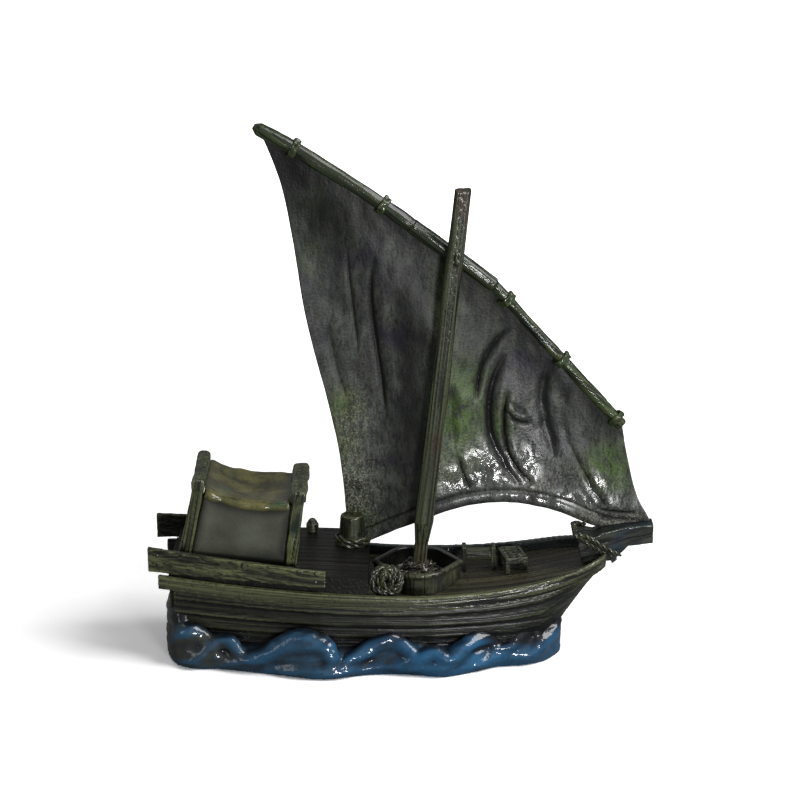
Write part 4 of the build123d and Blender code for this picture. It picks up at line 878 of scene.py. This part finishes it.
def sail_y(x, z):
    """Where the sail's cloth lies across the boat, in mm, before it is creased."""
    rows = np.array(SAIL_LIE)
    ax, ay, ab, mx, my, mb, fx, fy = (np.interp(z, rows[:, 0], rows[:, k]) for k in range(1, 9))
    aft = np.clip((x - ax) / (mx - ax), 0, 1)
    fore = np.clip((x - mx) / (fx - mx), 0, 1)
    y_aft = ay + (my - ay) * aft + ab * 4 * aft * (1 - aft)
    y_fore = my + (fy - my) * fore + mb * 4 * fore * (1 - fore)
    return np.where(x < mx, y_aft, y_fore)


head = smooth_run(YARD_RUN, SAIL_COLUMNS)
foot = smooth_run(FOOT, SAIL_COLUMNS)
leech = smooth_run(AFT_EDGE, SAIL_ROWS)
luff = smooth_run(FORE_EDGE, SAIL_ROWS)
u = np.linspace(0, 1, SAIL_COLUMNS)[None, :, None]
v = np.linspace(0, 1, SAIL_ROWS)[:, None, None]
corners = (1 - v) * ((1 - u) * head[0] + u * head[-1]) + v * ((1 - u) * foot[0] + u * foot[-1])
sheet = (1 - v) * head[None] + v * foot[None] + (1 - u) * leech[:, None] + u * luff[:, None] - corners
xs, zs = sheet[..., 0], sheet[..., 1]
ys = sail_y(xs, zs)
for _ in range(SAIL_PASSES):
    around = ys[:-2, 1:-1] + ys[2:, 1:-1] + ys[1:-1, :-2] + ys[1:-1, 2:]
    ys[1:-1, 1:-1] += 0.2 * (around - 4 * ys[1:-1, 1:-1])
wash_and_shade = np.zeros(xs.shape)
for depth, wide, dark, points in FOLDS:
    dist, along, side = away_from(xs, zs, smooth_run(points, FOLD_POINTS))
    taper = np.clip(np.minimum(along, 1 - along) * 5, 0.0, 1) ** 0.6
    reach = wide * (0.45 + 0.55 * taper)
    crease = np.exp(-((dist / reach) ** 2)) * taper
    ridge = np.exp(-(((dist - 2.0 * reach) / (1.5 * reach)) ** 2)) * taper * (0.4 + 0.35 * side)
    ys += depth * crease - 0.5 * depth * ridge
    # Each fold's crease is darkened as painted shade
    wash_and_shade = np.maximum(wash_and_shade, dark * np.exp(-((dist / (reach * 1.05)) ** 4)) * taper)
# Small hollows and swellings left by the carver: reach and height in mm, and where they are strong
flat_points = np.stack([xs, zs * 0, zs], axis=-1).reshape(-1, 3)
for size, high, strong, seed in (
    (17.0, 0.55, 1.0, 31),
    ((4.0, 5.0, 7.0), 0.22, 1.0, 33),
    ((3.0, 5.0, 4.0), 0.45, patches(xs, zs, WET), 35),
):
    ys += high * strong * noise_field(flat_points / size, seed).reshape(xs.shape)
# The rolled hem along the foot, proud of the cloth above it, with a groove between that is darkened as
# painted shade
hem_dist = away_from(xs, zs, foot)[0]
hem = np.exp(-(((hem_dist - HEM_MIDDLE) / HEM_HALF) ** 4))
groove = np.exp(-(((hem_dist - GROOVE_MIDDLE) / GROOVE_HALF) ** 2))
ys += -HEM_PROUD * hem + GROOVE_DEPTH * groove
wash_and_shade = np.maximum(wash_and_shade, 0.9 * groove)
# Painted shade in a band under the yard, and in the shade patches
yard_dist = away_from(xs, zs, head)[0]
wash_and_shade = np.maximum(wash_and_shade, 0.55 * np.exp(-(((yard_dist - 4.5) / 3.5) ** 2)))
wash_and_shade = np.maximum(wash_and_shade, patches(xs, zs, SAIL_SHADE))
bpy.ops.object.select_all(action="DESELECT")
bpy.ops.mesh.primitive_grid_add(x_subdivisions=SAIL_COLUMNS - 1, y_subdivisions=SAIL_ROWS - 1, size=1)
sail = bpy.context.object
sail.name = "sail_cloth"
# The grid's vertices are laid on the sheet row by row, from the foot up
flat = mm_points(sail).round(2)
order = np.lexsort((flat[:, 0], flat[:, 1]))
laid, shaded = np.empty((xs.size, 3)), np.empty(xs.size)
laid[order] = np.stack([xs, ys, zs], axis=-1)[::-1].reshape(-1, 3)
shaded[order] = wash_and_shade[::-1].ravel()
move_to(sail, laid)
paint(sail, "wash_and_shade", shaded)
for name, spots in (("moss", MOSS), ("pitted", PITTED), ("chalk_and_glints", CHALK_AND_GLINTS), ("wet", WET), ("pale_and_reflected", PALE_AND_REFLECTED)):
    paint(sail, name, patches(laid[:, 0], laid[:, 2], spots))
thick = sail.modifiers.new("thick", "SOLIDIFY")
thick.thickness = SAIL_THICK * MM
thick.offset = 0
soft = sail.modifiers.new("soft_edges", "BEVEL")
soft.width = SAIL_EDGE * MM
soft.segments = 2
soft.limit_method = "ANGLE"
soft.angle_limit = radians(50)
apply_modifiers(sail)
bpy.ops.object.shade_smooth()
sail_paint = antique_paint(
    "varnished_sail_paint", SAIL_GREY, SAIL_BRUSHED, SAIL_INK_AND_SHADE, gloss=0.07, pits=0.17, pit_size=1.2,
    speckle=0.7, fibre=0.1, grain_size=(1.3, 1.3, 4.2), grain_ink=0.5, varnish="wet",
    tints=[
        (SAIL_VIOLET, "", 26.0, 0.5, 0.62), (SAIL_PALE_REFLECTED, "pale_and_reflected", 7.0, 0.3, 0.62),
        (SAIL_MOSS, "moss", 7.0, 0.28, 0.52), (SAIL_PIT, "pitted", 1.1, 0.49, 0.53),
        (SAIL_CHALK_AND_GLINT, "chalk_and_glints", 0.8, 0.53, 0.58),
    ],
)
dress(sail, sail_paint, "sail", "sail", "sail_foot_hem")


# The bow head is a blunt carved block under the sail's foot, painted near black with patches of sea blue.
# A doubled two-strand rope lies over it and down to the stem. Its turns are cast resin, in dark straw paint.
BOW_BLACK, BOW_BRUSHED, BOW_BLUE = "#141817", "#40453a", "#1f3038"
ROPE_BLACK, ROPE_STRAW = "#15170f", "#42452e"
ROPE_ROUTE = [(99.5, -4.0, 47.5), (95, -7.5, 50.0), (90, -9.0, 53.4), (85.5, -9.4, 56.6), (81.8, -8.6, 59.6),
              (79.6, -5.5, 61.2), (79.0, 0, 61.4), (79.6, 5.5, 61.2), (81.8, 8.6, 59.6), (85.5, 9.4, 56.6)]
ROPE_POINTS, ROPE_SHIFT, ROPE_LIFT = 70, 0.95, 0.75
ROPE_STRANDS, ROPE_SIDES, BOW_ROPE = 2, 7, 1.15
bow = copy_of("carved_bow_head", "bow_head")
melt(bow, 0.42, 3)
carve(bow, (1, 0, 0.25), 30.0, 2.6, 0.2, 29)
bow_paint = antique_paint("antique_bow_paint", BOW_BLACK, BOW_BRUSHED, HULL_INK_AND_SHADE, gloss=0.12, fibre=0.12,
                          pits=0.05, coat=0.4, tints=[(BOW_BLUE, "", 12.0, 0.5, 0.64)])
dress(bow, bow_paint, "hull", "bow_head")
rope_paint = antique_paint("antique_rope_paint", ROPE_BLACK, ROPE_STRAW, HULL_INK_AND_SHADE, patch=5.0, pits=0.06,
                           gloss=0.08)


def lay(points, skin, lift):
    """Moves points in mm onto a skin, lifted off it by so much."""
    laid = []
    for point in points:
        place, normal, _, _ = skin.find_nearest(Vector(point))
        laid.append(place + normal * lift)
    return np.array(laid)


def twisted_rope(name, node, paths, radius, lay_length=7.0):
    """A rope's turns, each as strands that twist round one path, with one twist to each lay length in mm."""
    runs = []
    for path in paths:
        along = np.gradient(path, axis=0)
        along /= np.linalg.norm(along, axis=1)[:, None]
        across = np.cross(along[0], (0.2, 0.5, 0.84))
        strands = [[] for _ in range(ROPE_STRANDS)]
        for point, ahead, far in zip(path, along, lengths_along(path)):
            across = across - ahead * (across @ ahead)
            across /= np.linalg.norm(across)
            up = np.cross(ahead, across)
            for k, strand in enumerate(strands):
                turn = 2 * pi * (far / lay_length + k / ROPE_STRANDS)
                spot = point + 0.5 * radius * (cos(turn) * across + sin(turn) * up)
                strand.append((*spot, 0.56 * radius))
        runs += strands
    rope = tubes(name, runs, ROPE_SIDES)
    rope.data.shade_smooth()
    dress(rope, rope_paint, "rope", node)


bow_skin = skin_of(bow)
routes = []
for shift in (-ROPE_SHIFT, ROPE_SHIFT):
    route = smooth_run([(x + 0.9 * shift, y, z + shift) for x, y, z in ROPE_ROUTE], ROPE_POINTS)
    routes.append(lay(route, bow_skin, ROPE_LIFT))
twisted_rope("bow_line", "bow_rope", routes, BOW_ROPE)


# A coil of the same rope hangs on the rail, and is cast with it.
# It has two wide turns, and four smaller ones that cross each other inside them.
COIL_RADIUS, COIL_LEAN, COIL_ROPE, TURN_POINTS = 6.9, radians(62), 1.35, 60
# Columns: how far off the middle and in which direction in degrees, radius, how far out
LOOPS = [
    (0.0, 0.0, COIL_RADIUS, 0.3), (0.5, 200.0, COIL_RADIUS - 1.2, -0.9), (2.3, 20.0, 4.3, 0.8),
    (2.4, 110.0, 4.2, -0.2), (2.3, 205.0, 4.4, 0.6), (2.2, 300.0, 4.1, -0.4),
]
lean = np.array([[1, 0, 0], [0, cos(COIL_LEAN), -sin(COIL_LEAN)], [0, sin(COIL_LEAN), cos(COIL_LEAN)]])
low, high = box_mm("rope_coil")
t = np.linspace(0, 2 * pi, TURN_POINTS)
turns = []
for off, way, radius, out in LOOPS:
    way = radians(way)
    x, y = off * cos(way) + radius * np.cos(t), off * sin(way) + radius * np.sin(t)
    turns.append(np.stack([x, y, out + np.cos(2 * t + 3 * way)], axis=1) @ lean.T + (low + high) / 2)
twisted_rope("rope_coil_turns", "rope_coil", turns, COIL_ROPE)


# The bollard is a squat post that was sawn flat, in moss paint, with its sides darker than its top as painted
# shade.
# Two turns of the same rope lie round its foot.
BOLLARD_RADIUS, BOLLARD_CUT = 4.9, 0.6
BOLLARD_ROPE, TURN_RISE, SLACK_LAY = 1.7, 1.05, 12.0
FITTING_GRAIN = (9.0, 1.5, 0.28, 31)
bollard = copy_of("carved_bollard", "bollard")
low, high = box_mm("bollard")
middle, top = (low + high) / 2, high[2] - BOLLARD_CUT
bpy.ops.mesh.primitive_cylinder_add(
    vertices=32, radius=BOLLARD_RADIUS * MM, depth=(top - middle[2]) * MM,
    location=Vector((middle[0], middle[1], (top + middle[2]) / 2)) * MM,
)
join_onto(bollard, bpy.context.object)
melt(bollard, 0.45, 2)
carve(bollard, (0, 0, 1), *FITTING_GRAIN)
# Painted shade: the sides are darker than the flat top
add_wash_and_shade(bollard, 0.5 * (normals_of(bollard)[:, 2] < 0.6))
dress(bollard, post_paint, "fittings", "bollard")
low, high = box_mm("bollard_rope")
middle = (low + high) / 2
radius = (high[0] - low[0]) / 2 - BOLLARD_ROPE
turns = [
    middle + np.stack([radius * np.cos(t), radius * np.sin(t), rise + 0.4 * np.sin(2 * t)], axis=1)
    for rise in (-TURN_RISE, TURN_RISE)
]
twisted_rope("bollard_turns", "bollard_rope", turns, BOLLARD_ROPE, lay_length=SLACK_LAY)


# The small fittings are cast from carved patterns, with short grain and the hull's paint.
# They are the mooring bitt, the slatted crate, and the windlass with its two cheeks.
for node, name, cell, along in (
    ("mooring_bitt", "carved_bitt", 0.4, (0, 0, 1)),
    ("deck_crate", "carved_crate", 0.38, (1, 0, 0)),
    ("windlass_barrel", "carved_windlass", 0.4, (1, 0, 0)),
    ("windlass_cheeks", "windlass_cheek_pair", 0.4, (0, 0, 1)),
):
    fitting = copy_of(name, node)
    melt(fitting, cell, 2)
    carve(fitting, along, *FITTING_GRAIN)
    dress(fitting, hull_paint, "fittings", node)
